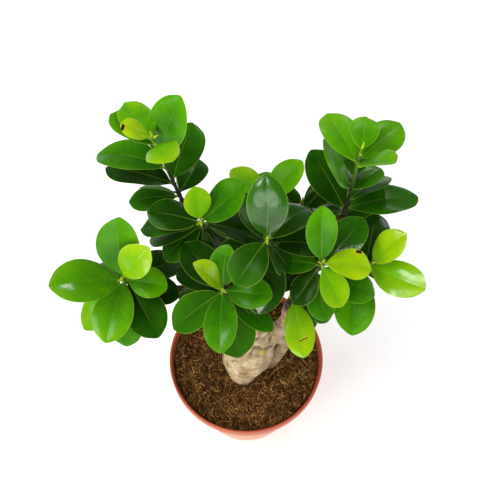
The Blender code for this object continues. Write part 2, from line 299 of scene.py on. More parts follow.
# %% Lamps and the room's own light
# The room lights the plant softly from all round, but shows dim in its gloss, as a real room does
ROOM_GLOW = 0.45
ROOM_IN_GLOSS = 0.02
# Each lamp's bearing and height seen from the plant, in degrees, its breadth in metres and its watts
LAMPS = {
    "key": (205, 58, 1.2, 9),
    "behind": (72, 40, 0.42, 5),
    "front_low": (268, 12, 0.95, 9),
    "front_high": (258, 40, 0.4, 5),
    "right_low": (8, 13, 0.42, 5),
    "back_high": (163, 55, 0.55, 7),
    "left_front": (222, 24, 0.8, 9),
}
LAMP_DISTANCE = 1.8
LAMP_AIM = Vector((0, 0, 0.2))

world = bpy.data.worlds.new("studio")
world.use_nodes = True
room = Bench(world.node_tree)
ray = room.node("ShaderNodeLightPath")
seen = ray + ray.other("Is Glossy Ray") * (ROOM_IN_GLOSS - ROOM_GLOW) + ROOM_GLOW
backdrop = world.node_tree.nodes["Background"]
backdrop.inputs["Color"].default_value = WHITE
room.plug(seen, backdrop.inputs["Strength"])
bpy.context.scene.world = world
bpy.context.scene.view_settings.view_transform = "Standard"


def add_lamp(name, bearing, height, breadth, watts):
    data = bpy.data.lights.new(name, "AREA")
    data.shape = "DISK"
    data.size = breadth
    data.energy = watts
    lamp = placed(name, data)
    turn = Matrix.Rotation(math.radians(bearing), 3, "Z") @ Matrix.Rotation(-math.radians(height), 3, "Y")
    lamp.location = LAMP_AIM + turn @ Vector((LAMP_DISTANCE, 0, 0))
    lamp.rotation_euler = (LAMP_AIM - lamp.location).to_track_quat("-Z", "Y").to_euler()


for lamp_name, lamp_plan in LAMPS.items():
    add_lamp(lamp_name, *lamp_plan)
print("lamps:", ", ".join(LAMPS))

# %% [markdown]
# ## Growing leaves by rule
# The leaves are all one form: a round stalk that spreads into a thick oval blade, folded a little
# along its midrib. Only size, direction and small whims differ. So one Geometry Nodes tree makes
# them. It reads a plan, a mesh with one point for each leaf, lays a flat sheet on every point, and
# rolls each sheet up into a closed leaf by formula. A reader can change a number and see all change.

# %% Helpers for Geometry Nodes trees
SOCKET_TYPES = {"float": "NodeSocketFloat", "int": "NodeSocketInt", "Material": "NodeSocketMaterial"}


def new_tree(name, inputs):
    """A Geometry Nodes tree with these named inputs. Returns its bench and the inputs as Wires."""
    tree = bpy.data.node_groups.new(name, "GeometryNodeTree")
    tree.interface.new_socket("Geometry", in_out="INPUT", socket_type="NodeSocketGeometry")
    for label, value in inputs.items():
        kind = SOCKET_TYPES[type(value).__name__]
        tree.interface.new_socket(label, in_out="INPUT", socket_type=kind)
    tree.interface.new_socket("Geometry", in_out="OUTPUT", socket_type="NodeSocketGeometry")
    bench = Bench(tree)
    start = tree.nodes.new("NodeGroupInput")
    return bench, {socket.name: Wire(bench, socket) for socket in start.outputs if socket.name}


def end_tree(bench, geometry, material):
    """Ends a tree in Realize Instances and Set Material, because an export drops instances."""
    real = bench.node("GeometryNodeRealizeInstances", inputs={"Geometry": geometry})
    finished = bench.node("GeometryNodeSetMaterial", inputs={"Geometry": real, "Material": material})
    end = bench.tree.nodes.new("NodeGroupOutput")
    bench.tree.links.new(finished.socket, end.inputs["Geometry"])


def stored(bench, geometry, name, value, kind="FLOAT_VECTOR", domain="POINT"):
    """Keeps a value on the geometry under a name."""
    settings = {"data_type": kind, "domain": domain}
    inputs = {"Geometry": geometry, "Name": name, "Value": value}
    return bench.node("GeometryNodeStoreNamedAttribute", settings, inputs)


def recalled(bench, name, kind="FLOAT"):
    """Reads what the geometry holds under a name."""
    return bench.node("GeometryNodeInputNamedAttribute", {"data_type": kind}, {"Name": name})


def applied(obj):
    """Turns an object's modifiers into plain mesh."""
    bpy.context.view_layer.update()
    graph = bpy.context.evaluated_depsgraph_get()
    mesh = bpy.data.meshes.new_from_object(obj.evaluated_get(graph))
    obj.modifiers.clear()
    obj.data = mesh
    return obj


def mesh_by_nodes(name, mesh, tree, values, kept=()):
    """Runs a tree on a mesh once and returns the result as a plain object without modifiers."""
    obj = placed(name, mesh)
    modifier = obj.modifiers.new("Grow", "NODES")
    modifier.node_group = tree
    for socket in tree.interface.items_tree:
        if socket.in_out == "INPUT" and socket.name in values:
            modifier[socket.identifier] = values[socket.name]
    grown = applied(obj).data
    for attribute in [a.name for a in grown.attributes if a.data_type.startswith("FLOAT")]:
        if attribute not in kept and attribute != "position":
            grown.attributes.remove(grown.attributes[attribute])
    return obj


print("Geometry Nodes trees can be made")

# %% [markdown]
# ## The form of one leaf
# The blade's outline is a product of two powers, which is narrow at the stalk, widest past the
# middle and blunt at the tip. Across, the sheet's columns run over the top from edge to edge and
# back under it, so the leaf closes on itself. Fold, arch, cupping and a wavy edge are heights added
# on top, and each has its own strength in every leaf.

# %% The leaf tree
LEAF_RINGS = 34
STALK_RINGS = 6
LEAF_COLUMNS = 32
# The columns crowd towards the midrib by this power, so that its ridge has faces to show on
COLUMN_CROWDING = 0.4
RING_CROWDING = 1.5
BASE_POWER = 0.8
TIP_POWER = 0.62
TIP_PINCH = 0.14
PINCH_FROM = 0.88
WIDEST = BASE_POWER / (BASE_POWER + TIP_POWER)
OUTLINE_PEAK = WIDEST**BASE_POWER * (1 - WIDEST) ** TIP_POWER
SOFT_FOLD = 0.9 * MM
WAVES_PER_BLADE = 1.4
# The wave runs ahead of the midrib at one edge and behind it at the other, by this many radians
WAVE_LEAD = 1.3
RIDGE_WIDTH = 1.1 * MM
GROOVE_WIDTH = 0.6 * MM
# The share of the blade's length over which it thins from the stalk's thickness to its own
STALK_SPREAD = 0.1
MERGE_DISTANCE = 0.004 * MM
# Past these shares of the way from midrib to edge, a point is on neither face, and on the crisp margin
NEITHER_FACE_FROM = 0.999
MARGIN_FROM = 0.9995

LEAF_SIZES = {
    "Stalk Length": 2.4 * MM,
    "Stalk Radius": 0.78 * MM,
    "Least Width": 7 * MM,
    "Width of Length": 0.43,
    "Thickness": 0.55 * MM,
    "Midrib Ridge": 0.4 * MM,
    "Midrib Groove": 0.12 * MM,
}


def leaf_sections(grow, sizes):
    """The formulas of the rolled sheet: its place along, across and through the leaf."""
    sheet = recalled(grow, "sheet", "FLOAT_VECTOR")
    ring, column, _ = grow.split(sheet)
    ring = ring + 0.5
    column = column + 0.5
    length = recalled(grow, "length")
    stalk_share = STALK_RINGS / LEAF_RINGS
    along_blade = grow.math("MAXIMUM", (ring - stalk_share) / (1 - stalk_share), 0.0)
    s = 1 - (1 - along_blade) ** RING_CROWDING
    along_stalk = grow.math("MINIMUM", ring / stalk_share, 1.0)
    x = along_stalk * sizes["Stalk Length"] + s * length
    across = 1 - abs(column * 4 - 2)
    t = across * abs(across) ** COLUMN_CROWDING
    top = grow.math("SIGN", 0.5 - column) * grow.math("LESS_THAN", abs(t), NEITHER_FACE_FROM)
    outline = s**BASE_POWER * (1 - s) ** TIP_POWER / OUTLINE_PEAK
    pinch = grow.smooth(s, PINCH_FROM, 1.0, 1.0, 1 - TIP_PINCH)
    widest = (sizes["Least Width"] + length * sizes["Width of Length"]) * recalled(grow, "breadth")
    blade_half = outline * pinch * widest / 2
    closing = grow.math("MINIMUM", ring * LEAF_RINGS, 1.0)
    stalk_half = sizes["Stalk Radius"] * (1 - s) ** 0.5
    half = grow.math("MAXIMUM", blade_half, stalk_half) * closing
    flat = sizes["Thickness"] / 2
    thick = flat + (sizes["Stalk Radius"] - flat) * grow.fade(s, 0.0, STALK_SPREAD)
    thick = thick * closing * (1 - s) ** 0.4
    return s, t, top, x, half, thick


def leaf_height(grow, sizes, s, t, top, half, thick):
    """The height of each point over the leaf's own level: fold, arch, cupping, wave and midrib."""
    y = abs(t * half)
    skin = top * thick * (1 - t * t) ** 0.5
    fold = ((y * y + SOFT_FOLD * SOFT_FOLD) ** 0.5 - SOFT_FOLD) * recalled(grow, "fold")
    arch = recalled(grow, "arch") * recalled(grow, "length") * 4 * s * (1 - s)
    cup = recalled(grow, "cup") * t * t * half
    turn = s * (WAVES_PER_BLADE * 2 * math.pi) + recalled(grow, "phase") + t * WAVE_LEAD
    wave = grow.math("SINE", turn) * t * t * recalled(grow, "wave") * grow.smooth(s, 0.05, 0.3)
    fading = 1 - s
    ridge = grow.fade(y, 0.0, RIDGE_WIDTH) * grow.math("LESS_THAN", top, -0.5)
    groove = grow.fade(y, 0.0, GROOVE_WIDTH) * grow.math("GREATER_THAN", top, 0.5)
    ribs = (ridge * sizes["Midrib Ridge"] + groove * sizes["Midrib Groove"]) * fading
    return skin + fold + arch + cup + wave - ribs * grow.smooth(s, 0.0, 0.05)


def build_leaf_tree():
    grow, plan = new_tree("leaf_by_rule", {**LEAF_SIZES, "Finish": bpy.data.materials.new("blank")})
    grid = {"Size X": 1.0, "Size Y": 1.0, "Vertices X": LEAF_RINGS + 1, "Vertices Y": LEAF_COLUMNS + 1}
    sheet = grow.node("GeometryNodeMeshGrid", inputs=grid)
    sheet = stored(grow, sheet, "sheet", grow.node("GeometryNodeInputPosition"))
    copies = {"Points": plan["Geometry"], "Instance": sheet}
    leaves = grow.node("GeometryNodeInstanceOnPoints", inputs=copies)
    leaves = grow.node("GeometryNodeRealizeInstances", inputs={"Geometry": leaves})
    s, t, top, x, half, thick = leaf_sections(grow, plan)
    z = leaf_height(grow, plan, s, t, top, half, thick)
    sway = recalled(grow, "sway") * recalled(grow, "length") * 4 * s * (1 - s)
    y = t * half + sway
    leaves = stored(grow, leaves, "blade", grow.joined(s, t, top))
    leaves = stored(grow, leaves, "blade_mm", grow.joined(x / MM, t * half / MM, half / MM))
    place = recalled(grow, "root_point", "FLOAT_VECTOR")
    for axis, distance in (("forward", x), ("side", y), ("up", z)):
        step = grow.scaled(recalled(grow, axis, "FLOAT_VECTOR"), distance)
        place = grow.vector("ADD", place, step)
    leaves = grow.node("GeometryNodeSetPosition", inputs={"Geometry": leaves, "Position": place})
    closed = {"Geometry": leaves, "Distance": MERGE_DISTANCE}
    leaves = grow.node("GeometryNodeMergeByDistance", inputs=closed)
    edge_t = grow.split(recalled(grow, "blade", "FLOAT_VECTOR"))[1]
    on_margin = grow.math("GREATER_THAN", abs(edge_t), MARGIN_FROM)
    crisp = {"Geometry": leaves, "Selection": on_margin, "Shade Smooth": False}
    leaves = grow.node("GeometryNodeSetShadeSmooth", {"domain": "EDGE"}, crisp)
    end_tree(grow, leaves, plan["Finish"])
    return grow.tree


leaf_tree = build_leaf_tree()
print("leaf tree has", len(leaf_tree.nodes), "nodes, and a leaf", LEAF_RINGS * LEAF_COLUMNS, "faces")

# %% [markdown]
# ## The plan of the leaves
# A plant isn't random: leaves stand round each stem in a spiral, young and pale at the top and old
# and dark below. The photograph shows most of them, so the plan is written out leaf by leaf, as
# the CAD source has it. It gives each leaf's place and direction, and adds how old it is.

# %% The leafy stems
# "base" and "tip" are the ends of a stem in millimetres. A leaf's row is: how far below the tip it
# grows, the bearing it points to (0 is +X, 90 is +Y), how far it climbs above level, the length of
# its blade, its roll about its midrib, and its age, from 0 for new to 1 for old.
SHOOTS = {
    "upper_left": {
        "base": (-43, 66, 214), "tip": (-49, 39, 314),
        "leaves": [
            (1, 193, 43, 14, -22, 0.08), (7, 126, 4, 26, 0, 0.3), (10, 296, 30, 24, 10, 0.25),
            (13, 143, 9, 27, 0, 0.48), (26, 34, 66, 36, 20, 0.47), (44, 162, -7, 41, 8, 0.5),
            (64, 74, 9, 37, 5, 0.66), (70, 163, -1, 41, 10, 0.85), (88, 67, -5, 27, 0, 0.8),
            (92, 182, -8, 29, 0, 0.7), (30, 95, -10, 28, 0, 0.7), (86, 181, 12, 20, 50, 0.6),
        ],
    },
    "upper_right": {
        "base": (65, 50, 222), "tip": (63, 36, 308),
        "leaves": [
            (5, 78, 3, 19, 0, 0.35), (18, 115, 5, 32, 5, 0.36), (13, 46, 1, 31, 5, 0.42),
            (16, 313, 43, 24, -5, 0.3), (50, 154, 59, 36, 13, 0.45), (52, 40, 0, 21, -10, 0.5),
            (80, 126, 30, 39, -10, 0.8), (66, 40, -10, 32, -20, 0.7), (77, 12, -3, 44, -10, 0.62),
            (82, 150, -40, 27, 10, 0.85), (36, 80, 0, 28, 0, 0.7), (44, 80, -35, 22, 0, 0.8),
        ],
    },
    "far_left": {
        "base": (-80, 21, 182), "tip": (-79, 8, 212),
        "leaves": [
            (1, 26, 47, 26, 30, 0.17), (5, 88, 58, 38, 0, 0.45), (9, 203, 28, 44, -10, 0.38),
            (12, 348, 0, 23, 15, 0.4), (15, 257, -7, 38, -10, 0.33), (20, 302, -20, 38, 0, 0.8),
            (22, 35, -20, 40, 0, 0.85), (25, 140, -28, 34, 0, 0.9), (29, 263, -44, 42, 0, 0.6),
            (28, 347, -12, 30, 0, 0.9), (24, 231, -9, 37, 0, 0.3),
        ],
    },
    "centre_left": {
        "base": (-28, 48, 212), "tip": (-27, 29, 247),
        "leaves": [
            (1, 110, 70, 20, 0, 0.24), (5, 19, 43, 34, 10, 0.56), (10, 0, -25, 37, -10, 0.85),
            (12, 172, 8, 29, -10, 0.85), (18, 178, -13, 36, 10, 0.7), (24, 182, -28, 36, 10, 0.8),
            (29, 212, -30, 30, 0, 0.8), (31, 262, -38, 26, 0, 0.9), (32, 338, -60, 25, 0, 0.9),
        ],
    },
    "centre": {
        "base": (14, 28, 220), "tip": (13, 10, 258),
        "leaves": [
            (3, 95, 68, 38, -5, 0.72), (7, 233, -20, 27, 0, 0.75), (12, 48, -11, 33, -10, 0.85),
            (18, 336, -58, 24, 0, 0.85), (32, 262, -28, 39, 0, 0.85), (22, 110, 0, 28, 0, 0.8),
            (26, 5, -15, 34, 0, 0.88), (29, 188, -33, 34, 0, 0.9), (27, 38, -46, 25, 0, 0.9),
        ],
    },
    "front": {
        "base": (-14, 10, 188), "tip": (-14, -6, 224),
        "leaves": [
            (1, 167, 57, 25, 0, 0.1), (4, 79, 50, 24, -15, 0.5), (8, 345, 15, 27, 10, 0.58),
            (11, 269, 5, 38, 10, 0.5), (15, 130, 10, 35, 0, 0.85), (19, 210, -25, 36, -10, 0.66),
            (24, 286, -38, 40, 10, 0.8), (29, 323, -12, 35, 0, 0.7), (31, 173, -25, 29, 20, 0.7),
            (30, 148, -10, 33, 0, 0.9),
        ],
    },
    "front_right": {
        "base": (47, 22, 194), "tip": (48, 9, 232),
        "leaves": [
            (6, 94, 57, 33, 0, 0.44), (4, 359, -11, 26, 10, 0.08), (9, 306, -40, 26, 5, 0.2),
            (12, 161, -23, 22, -15, 0.6), (16, 43, 19, 36, 0, 0.7), (20, 226, -43, 25, 0, 0.9),
            (23, 340, -18, 36, 5, 0.55), (27, 106, 24, 30, 10, 0.85), (32, 284, -42, 30, 0, 0.55),
            (27, 180, -38, 31, 0, 0.9),
        ],
    },
    "far_right": {
        "base": (78, 30, 182), "tip": (83, 20, 210),
        "leaves": [
            (4, 22, 50, 27, 0, 0.1), (9, 322, 20, 37, 20, 0.2), (15, 75, 2, 38, 0, 0.85),
            (20, 90, -20, 24, 20, 0.8), (24, 261, -23, 40, 0, 0.48), (26, 10, -45, 34, 0, 0.6),
        ],
    },
    "sprig": {
        "base": (31, 9, 176), "tip": (33, 6, 190),
        "leaves": [
            (3, 280, -25, 35, 0, 0.19), (7, 350, -30, 27, 0, 0.6), (10, 315, -55, 28, 0, 0.85),
        ],
    },
    "back": {
        "base": (14, 66, 200), "tip": (14, 52, 236),
        "leaves": [
            (1, 138, 10, 26, 10, 0.25), (5, 43, 28, 29, -10, 0.35), (9, 90, 0, 20, 0, 0.5),
            (14, 203, -18, 31, 0, 0.7), (18, 330, -30, 34, 0, 0.8), (28, 30, -40, 36, 0, 0.8),
            (23, 75, -35, 32, 0, 0.8),
        ],
    },
    "back_left": {
        "base": (-20, 50, 186), "tip": (-21, 68, 208),
        "leaves": [
            (5, 30, 0, 28, 0, 0.6), (9, 150, -10, 24, 0, 0.7), (14, 110, -30, 36, 0, 0.8),
            (19, 20, -35, 32, 0, 0.85),
        ],
    },
    "back_right": {
        "base": (38, 60, 190), "tip": (38, 62, 218),
        "leaves": [
            (1, 250, 45, 22, 0, 0.7), (5, 280, 35, 18, 0, 0.75), (9, 36, 20, 28, 0, 0.8),
            (14, 125, 12, 20, 0, 0.8),
        ],
    },
    "rear_right": {
        "base": (56, 52, 182), "tip": (66, 68, 198),
        "leaves": [
            (1, 100, 20, 28, 0, 0.6), (5, 20, 20, 30, 0, 0.7), (9, 112, 14, 28, 0, 0.8),
            (13, 70, -20, 34, 0, 0.85),
        ],
    },
}


def stem_ends(name):
    """The two ends of a leafy stem in metres, and the direction from its base to its tip."""
    base = Vector(SHOOTS[name]["base"]) * MM
    tip = Vector(SHOOTS[name]["tip"]) * MM
    return base, tip, (tip - base).normalized()


print(sum(len(shoot["leaves"]) for shoot in SHOOTS.values()), "leaves on", len(SHOOTS), "stems")

# %% [markdown]
# ## What makes each leaf its own
# Leaves from one mould look like plastic. A fixed seed gives each its own fold, arch, cup, wave and
# sideways sway, all small. The leaves that stand out in the photograph get some of theirs listed:
# one is half closed, some are broad, some are waxier and shine, and three carry a scar.

# %% Fold, arch, wave and scars of each leaf
LEAF_SEED = 7
USUAL_FOLD = 12
# A fold is in degrees, a breadth is a share of the usual one, and wax goes from 0 to 1
ODD_LEAVES = {
    ("upper_left", 0): {"breadth": 0.78},
    ("upper_left", 2): {"fold": 6, "arch": 0.12},
    ("upper_left", 6): {"breadth": 1.1},
    ("upper_left", 11): {"fold": 28, "wax": 0.6},
    ("upper_right", 3): {"fold": 24},
    ("upper_right", 8): {"wax": 0.12},
    ("far_left", 0): {"breadth": 1.12, "wax": 0.6, "fold": 16},
    ("far_left", 1): {"breadth": 1.12},
    ("far_left", 2): {"breadth": 1.08, "wax": 1.0},
    ("far_left", 3): {"breadth": 1.12},
    ("far_left", 4): {"breadth": 1.05, "wax": 1.0},
    ("far_left", 5): {"breadth": 1.1},
    ("far_left", 10): {"wave": 1.2},
    ("centre", 0): {"wax": 1.0, "arch": 0.12, "fold": 9, "breadth": 0.94},
    ("centre", 1): {"breadth": 1.18},
    ("centre", 4): {"wax": 1.0, "breadth": 1.15, "fold": 6},
    ("back", 1): {"wax": 0.05, "fold": 8},
    ("front", 0): {"breadth": 0.75, "fold": 28, "wax": 1.0},
    ("front", 3): {"breadth": 0.86, "wax": 0.35},
    ("front", 5): {"wax": 0.0},
    ("front", 6): {"breadth": 1.1, "wax": 0.0},
    ("front", 7): {"breadth": 0.72, "wax": 0.0},
    ("front_right", 0): {"breadth": 0.86, "wax": 0.15},
    ("front_right", 4): {"wax": 1.0},
    ("far_right", 0): {"wax": 1.0},
    ("far_right", 1): {"wax": 1.0},
    ("far_right", 4): {"breadth": 1.08},
    ("sprig", 0): {"breadth": 0.88, "wax": 0.7},
}
# A scar's place along and across the blade as shares, its bearing on the blade in degrees, and its
# half length and half width in millimetres
SCARS = {
    ("sprig", 0): (0.68, 0.2, 106, 3.3, 0.3),
    ("front_right", 1): (0.68, 0.86, 10, 2.0, 0.9),
    ("upper_left", 0): (0.92, 0.3, 80, 1.6, 0.8),
}
NO_SCAR = (0.0, 0.0, 0.0, 0.0, 0.0)
# The solids keep long bare stalks so that their blades stay apart. These blades start lower down
STALK_TAKEN_IN = 3.6 * MM
# Each whim is drawn from its range. A fold is a share of the usual one, a wave is in millimetres
WHIM_RANGES = {
    "fold": (0.6, 1.5),
    "breadth": (0.96, 1.04),
    "arch": (0.03, 0.09),
    "cup": (-0.24, -0.04),
    "wave": (0.1, 0.9),
    "phase": (0, 2 * math.pi),
    "sway": (-0.025, 0.025),
    "wax": (0.04, 0.26),
    "seed": (0, 1),
}
LEAF_NUMBERS = ("length", "age", *WHIM_RANGES)
LEAF_AXES = ("root_point", "forward", "side", "up", "scar_place", "scar_size")


def leaf_axes(tip, along, row):
    """Where a leaf joins its stem, and its own forward, sideways and upward directions."""
    down, bearing, rise, _, roll, _ = row
    turn = Matrix.Rotation(math.radians(bearing), 3, "Z")
    turn = turn @ Matrix.Rotation(-math.radians(rise), 3, "Y")
    turn = turn @ Matrix.Rotation(math.radians(roll), 3, "X")
    return (tip - along * down * MM, turn.col[0], turn.col[1], turn.col[2])


def leaf_whims(chance, name, number):
    """The small differences that a leaf has from its neighbours."""
    whims = {key: chance.uniform(*ends) for key, ends in WHIM_RANGES.items()}
    whims["fold"] *= USUAL_FOLD
    whims.update(ODD_LEAVES.get((name, number), {}))
    whims["fold"] = math.tan(math.radians(whims["fold"]))
    whims["wave"] *= MM
    return whims


def plan_of(name, chance):
    """A mesh with one point for each leaf of a stem. Its attributes tell the tree what to grow."""
    _, tip, along = stem_ends(name)
    rows = SHOOTS[name]["leaves"]
    plan = bpy.data.meshes.new(name + "_plan")
    plan.from_pydata([tip] * len(rows), [], [])
    for key in LEAF_NUMBERS:
        plan.attributes.new(key, "FLOAT", "POINT")
    for key in LEAF_AXES:
        plan.attributes.new(key, "FLOAT_VECTOR", "POINT")
    for i, row in enumerate(rows):
        _, _, _, length, _, age = row
        numbers = {"length": length * MM + STALK_TAKEN_IN, "age": age, **leaf_whims(chance, name, i)}
        for key, value in numbers.items():
            plan.attributes[key].data[i].value = value
        place_s, place_t, bearing, half_length, half_width = SCARS.get((name, i), NO_SCAR)
        scar = ((place_s, place_t, math.radians(bearing)), (half_length, half_width, 0))
        for key, value in zip(LEAF_AXES, leaf_axes(tip, along, row) + scar):
            plan.attributes[key].data[i].vector = value
    return plan


print("leaves shaped by hand:", len(ODD_LEAVES), " scarred leaves:", len(SCARS))

# %% [markdown]
# ## The leaf's finish
# A fig leaf has a waxy top over a pale midrib and faint side veins, a thin pale edge, and a dull
# grey-green underside. The pale edge is partly its own margin and partly a painted highlight where
# light catches the rim. Its colour runs from yellow-green in a new leaf to a very dark green in an
# old one. All of this follows the blade, so the material reads the places along and across it
# that the tree stored, and no image is needed. Veins also go into the bump, where gloss shows them.

# %% Leaf material
NEW_LEAF = rgb(0.35, 0.54, 0.002)
BRIGHT_LEAF = rgb(0.095, 0.34, 0.001)
GROWN_LEAF = rgb(0.024, 0.145, 0.001)
OLD_LEAF = rgb(0.008, 0.050, 0.001)
OLDEST_LEAF = rgb(0.004, 0.021, 0.001)
LEAF_AGES = [
    (0.0, NEW_LEAF), (0.28, BRIGHT_LEAF), (0.52, GROWN_LEAF), (0.78, OLD_LEAF), (1.0, OLDEST_LEAF),
]
RIB_PALE = rgb(0.30, 0.48, 0.05)
EDGE_PALE_AND_GLINT = rgb(0.36, 0.50, 0.07)
# Pale for the leaf's own margin, and for a painted highlight along its rim
UNDERSIDE = rgb(0.13, 0.24, 0.085)
STALK_GREEN = rgb(0.16, 0.26, 0.02)
SCAR_YELLOW = rgb(0.55, 0.46, 0.01)
SCAR_DARK = rgb(0.018, 0.010, 0.006)
LEAF_RELIEF = 0.32 * MM
# The veins' spacing, and how far and over what distance they wander, in millimetres
VEIN_SPACING = 5.6
VEIN_WANDER = 5.0
VEIN_WANDER_SIZE = 8.0
VEIN_SLANT = 0.75
# A vein takes up what is past this share of half its spacing, measured from between two veins
VEIN_FROM = 0.72
LEAF_DULLNESS = 0.34
# The leaf's own sheen is green. Only its wax, a clear coat over it, mirrors white
LEAF_SHEEN = {
    "Specular IOR Level": 0.2, "Specular Tint": rgb(0.45, 1.0, 0.08), "Coat Roughness": 0.16,
}


def leaf_veins(paint, x, y, seed):
    """The side veins, from 0 between them to 1 on them. They lean forward from the midrib."""
    wander = paint.grain(paint.joined(x, y, seed * 40), VEIN_WANDER_SIZE) * VEIN_WANDER
    lean = x - abs(y) * VEIN_SLANT + wander
    cycle = paint.math("FRACT", lean / VEIN_SPACING + seed * 7)
    return paint.smooth(abs(cycle - 0.5), VEIN_FROM / 2, 0.5)


def scar_masks(paint, x, y, half):
    """The dark line of a scar and the pale ring round it."""
    place_s, place_t, bearing = paint.split(carried(paint, "scar_place"))
    long_half, thin_half, _ = paint.split(carried(paint, "scar_size"))
    s, _, _ = paint.split(carried(paint, "blade"))
    ahead = (s - place_s) * x / paint.math("MAXIMUM", s, 0.05)
    aside = y - place_t * half
    cosine = paint.math("COSINE", bearing)
    sine = paint.math("SINE", bearing)
    u = abs(ahead * cosine + aside * sine)
    v = abs(aside * cosine - ahead * sine)
    gap = paint.math("MAXIMUM", u - long_half, v - thin_half)
    there = paint.math("GREATER_THAN", long_half, 0.1)
    line = paint.fade(gap, -0.1, 0.25) * there
    ring = paint.fade(gap, 0.1, 1.8) * there
    return line, ring


def make_leaf_finish():
    material, paint = new_finish("ficus_leaf")
    s, t, top = paint.split(carried(paint, "blade"))
    x, y, half = paint.split(carried(paint, "blade_mm"))
    seed = carried_number(paint, "seed")
    place = object_place(paint)
    cloud = paint.grain(place, 11 * MM, 2.0)
    fleck = paint.grain(place, 1.6 * MM, 3.0, 0.6)
    veins = leaf_veins(paint, x, y, seed)
    # Each blade is made paler towards its tip and edges and darker towards its base
    outward = paint.smooth(s + abs(t) * 0.35, 0.35, 1.25)
    age = carried_number(paint, "age") + (cloud - 0.5) * 0.2 + (seed - 0.5) * 0.06
    age = age - (fleck - 0.5) * 0.06 - veins * 0.02 - outward * 0.14 + 0.03
    rib_half = 0.3 - s * 0.22
    rib = paint.fade(abs(y) - rib_half, -0.1, 0.25) * paint.fade(s, 0.6, 0.92)
    # The pale edge is partly the leaf's own margin and partly a painted highlight where light catches the
    # rim
    edge = paint.fade(half - abs(y), 0.05, 0.5) * paint.smooth(s, 0.02, 0.1)
    under = paint.fade(top, -0.1, 0.0)
    stalk = paint.fade(s, 0.0, 0.05)
    line, ring = scar_masks(paint, x, y, half)
    colour = paint.layered(
        paint.ramp(age, LEAF_AGES),
        (rib * 0.2, RIB_PALE),
        (edge * 0.5, EDGE_PALE_AND_GLINT),
        (under * 0.55, UNDERSIDE),
        (stalk * 0.4, STALK_GREEN),
        (ring * 0.5, SCAR_YELLOW),
        (line, SCAR_DARK),
    )
    roughness = LEAF_DULLNESS + under * 0.25 + cloud * 0.08 + fleck * 0.06 + line * 0.4
    wax = carried_number(paint, "wax") * (1 - under) * (1 - line) * (1 - veins * 0.3)
    height = 0.5 - veins * (wax * 0.34 + 0.05) + rib * 0.15 + fleck * 0.03 + cloud * (wax * 1.2 + 0.4)
    finish_surface(paint, colour, roughness, height, LEAF_RELIEF, {"Coat Weight": wax, **LEAF_SHEEN})
    return material


leaf_finish = make_leaf_finish()
print("leaf finish has", len(leaf_finish.node_tree.nodes), "nodes")

# %% Grow the leaves of every stem
KEPT_ON_LEAVES = ("blade", "blade_mm", "age", "wax", "seed", "scar_place", "scar_size")


def dress(piece, node):
    """Hangs a piece on the frame's root and hides the CAD node that it stands in for."""
    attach(piece, "root")
    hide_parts(node)
    return piece


def grow_leaves(name, chance):
    values = {**LEAF_SIZES, "Finish": leaf_finish}
    leaves = mesh_by_nodes("leaves_" + name, plan_of(name, chance), leaf_tree, values, KEPT_ON_LEAVES)
    return dress(leaves, "shoot_" + name)


leaf_chance = random.Random(LEAF_SEED)
for stem_name in SHOOTS:
    grown = grow_leaves(stem_name, leaf_chance)
    print(grown.name, len(grown.data.polygons), "faces")

# %% [markdown]
# ## The stems
# A stem is a thin rod with a ring at every place where a leaf stood or stands, and it ends in a
# pointed sheath that holds the next leaf. A plain cone would read as wire. So each stem is a tube
# whose radius swells at the rings and flares at its foot, where it grows out of the cut branch.
# Beside the youngest leaves stand the small sheaths that they burst from, as short bent spikes.

# %% A tube along a path
STEM_SIDES = 12


def add_tube(shape, centres, radii, sides=STEM_SIDES):
    """Adds a closed tube to a bmesh, through these centres with these radii."""
    rings = []
    for i, centre in enumerate(centres):
        ahead = centres[min(i + 1, len(centres) - 1)] - centres[max(i - 1, 0)]
        turn = ahead.to_track_quat("Z", "Y").to_matrix()
        ring = []
        for k in range(sides):
            angle = 2 * math.pi * k / sides
            spoke = turn @ Vector((math.cos(angle), math.sin(angle), 0))
            ring.append(shape.verts.new(centre + spoke * radii[i]))
        rings.append(ring)
    for lower, upper in zip(rings, rings[1:]):
        for k in range(sides):
            after = (k + 1) % sides
            shape.faces.new((lower[k], lower[after], upper[after], upper[k]))
    for ring, centre in ((rings[0][::-1], centres[0]), (rings[-1], centres[-1])):
        pole = shape.verts.new(centre)
        for k in range(sides):
            shape.faces.new((ring[k], ring[(k + 1) % sides], pole))


def painted(obj, material):
    """Gives an object this one material."""
    obj.data.materials.clear()
    obj.data.materials.append(material)
    return obj


def smooth_object(name, shape, material):
    """Turns a bmesh into a smoothly shaded object with one material."""
    obj = painted(object_from(name, shape), material)
    obj.data.shade_smooth()
    return obj


print("a tube has", STEM_SIDES, "sides")

# %% Stem material
STEM_BROWN = rgb(0.024, 0.014, 0.008)
STEM_OLIVE = rgb(0.014, 0.024, 0.004)
STEM_SHEEN = {"Specular IOR Level": 0.12}
STEM_GREEN = rgb(0.10, 0.22, 0.015)
BUD_GREEN = rgb(0.42, 0.55, 0.02)
STEM_AGES = [(0.0, STEM_BROWN), (0.4, STEM_OLIVE), (0.8, STEM_GREEN), (1.0, BUD_GREEN)]
RING_BROWN = rgb(0.08, 0.07, 0.03)
STEM_RELIEF = 0.25 * MM


def make_stem_finish():
    material, paint = new_finish("green_stem")
    place = object_place(paint)
    cloud = paint.grain(place, 3 * MM, 3.0)
    fleck = paint.grain(place, 0.7 * MM, 2.0)
    youth = carried_number(paint, "youth") + (cloud - 0.5) * 0.25
    colour = paint.mix(carried_number(paint, "ring_scar") * 0.3, paint.ramp(youth, STEM_AGES), RING_BROWN)
    roughness = 0.62 - youth * 0.25 + fleck * 0.1
    height = cloud * 0.5 + fleck * 0.5
    finish_surface(paint, colour, roughness, height, STEM_RELIEF, STEM_SHEEN)
    return material


stem_finish = make_stem_finish()
print("stem finish has", len(stem_finish.node_tree.nodes), "nodes")

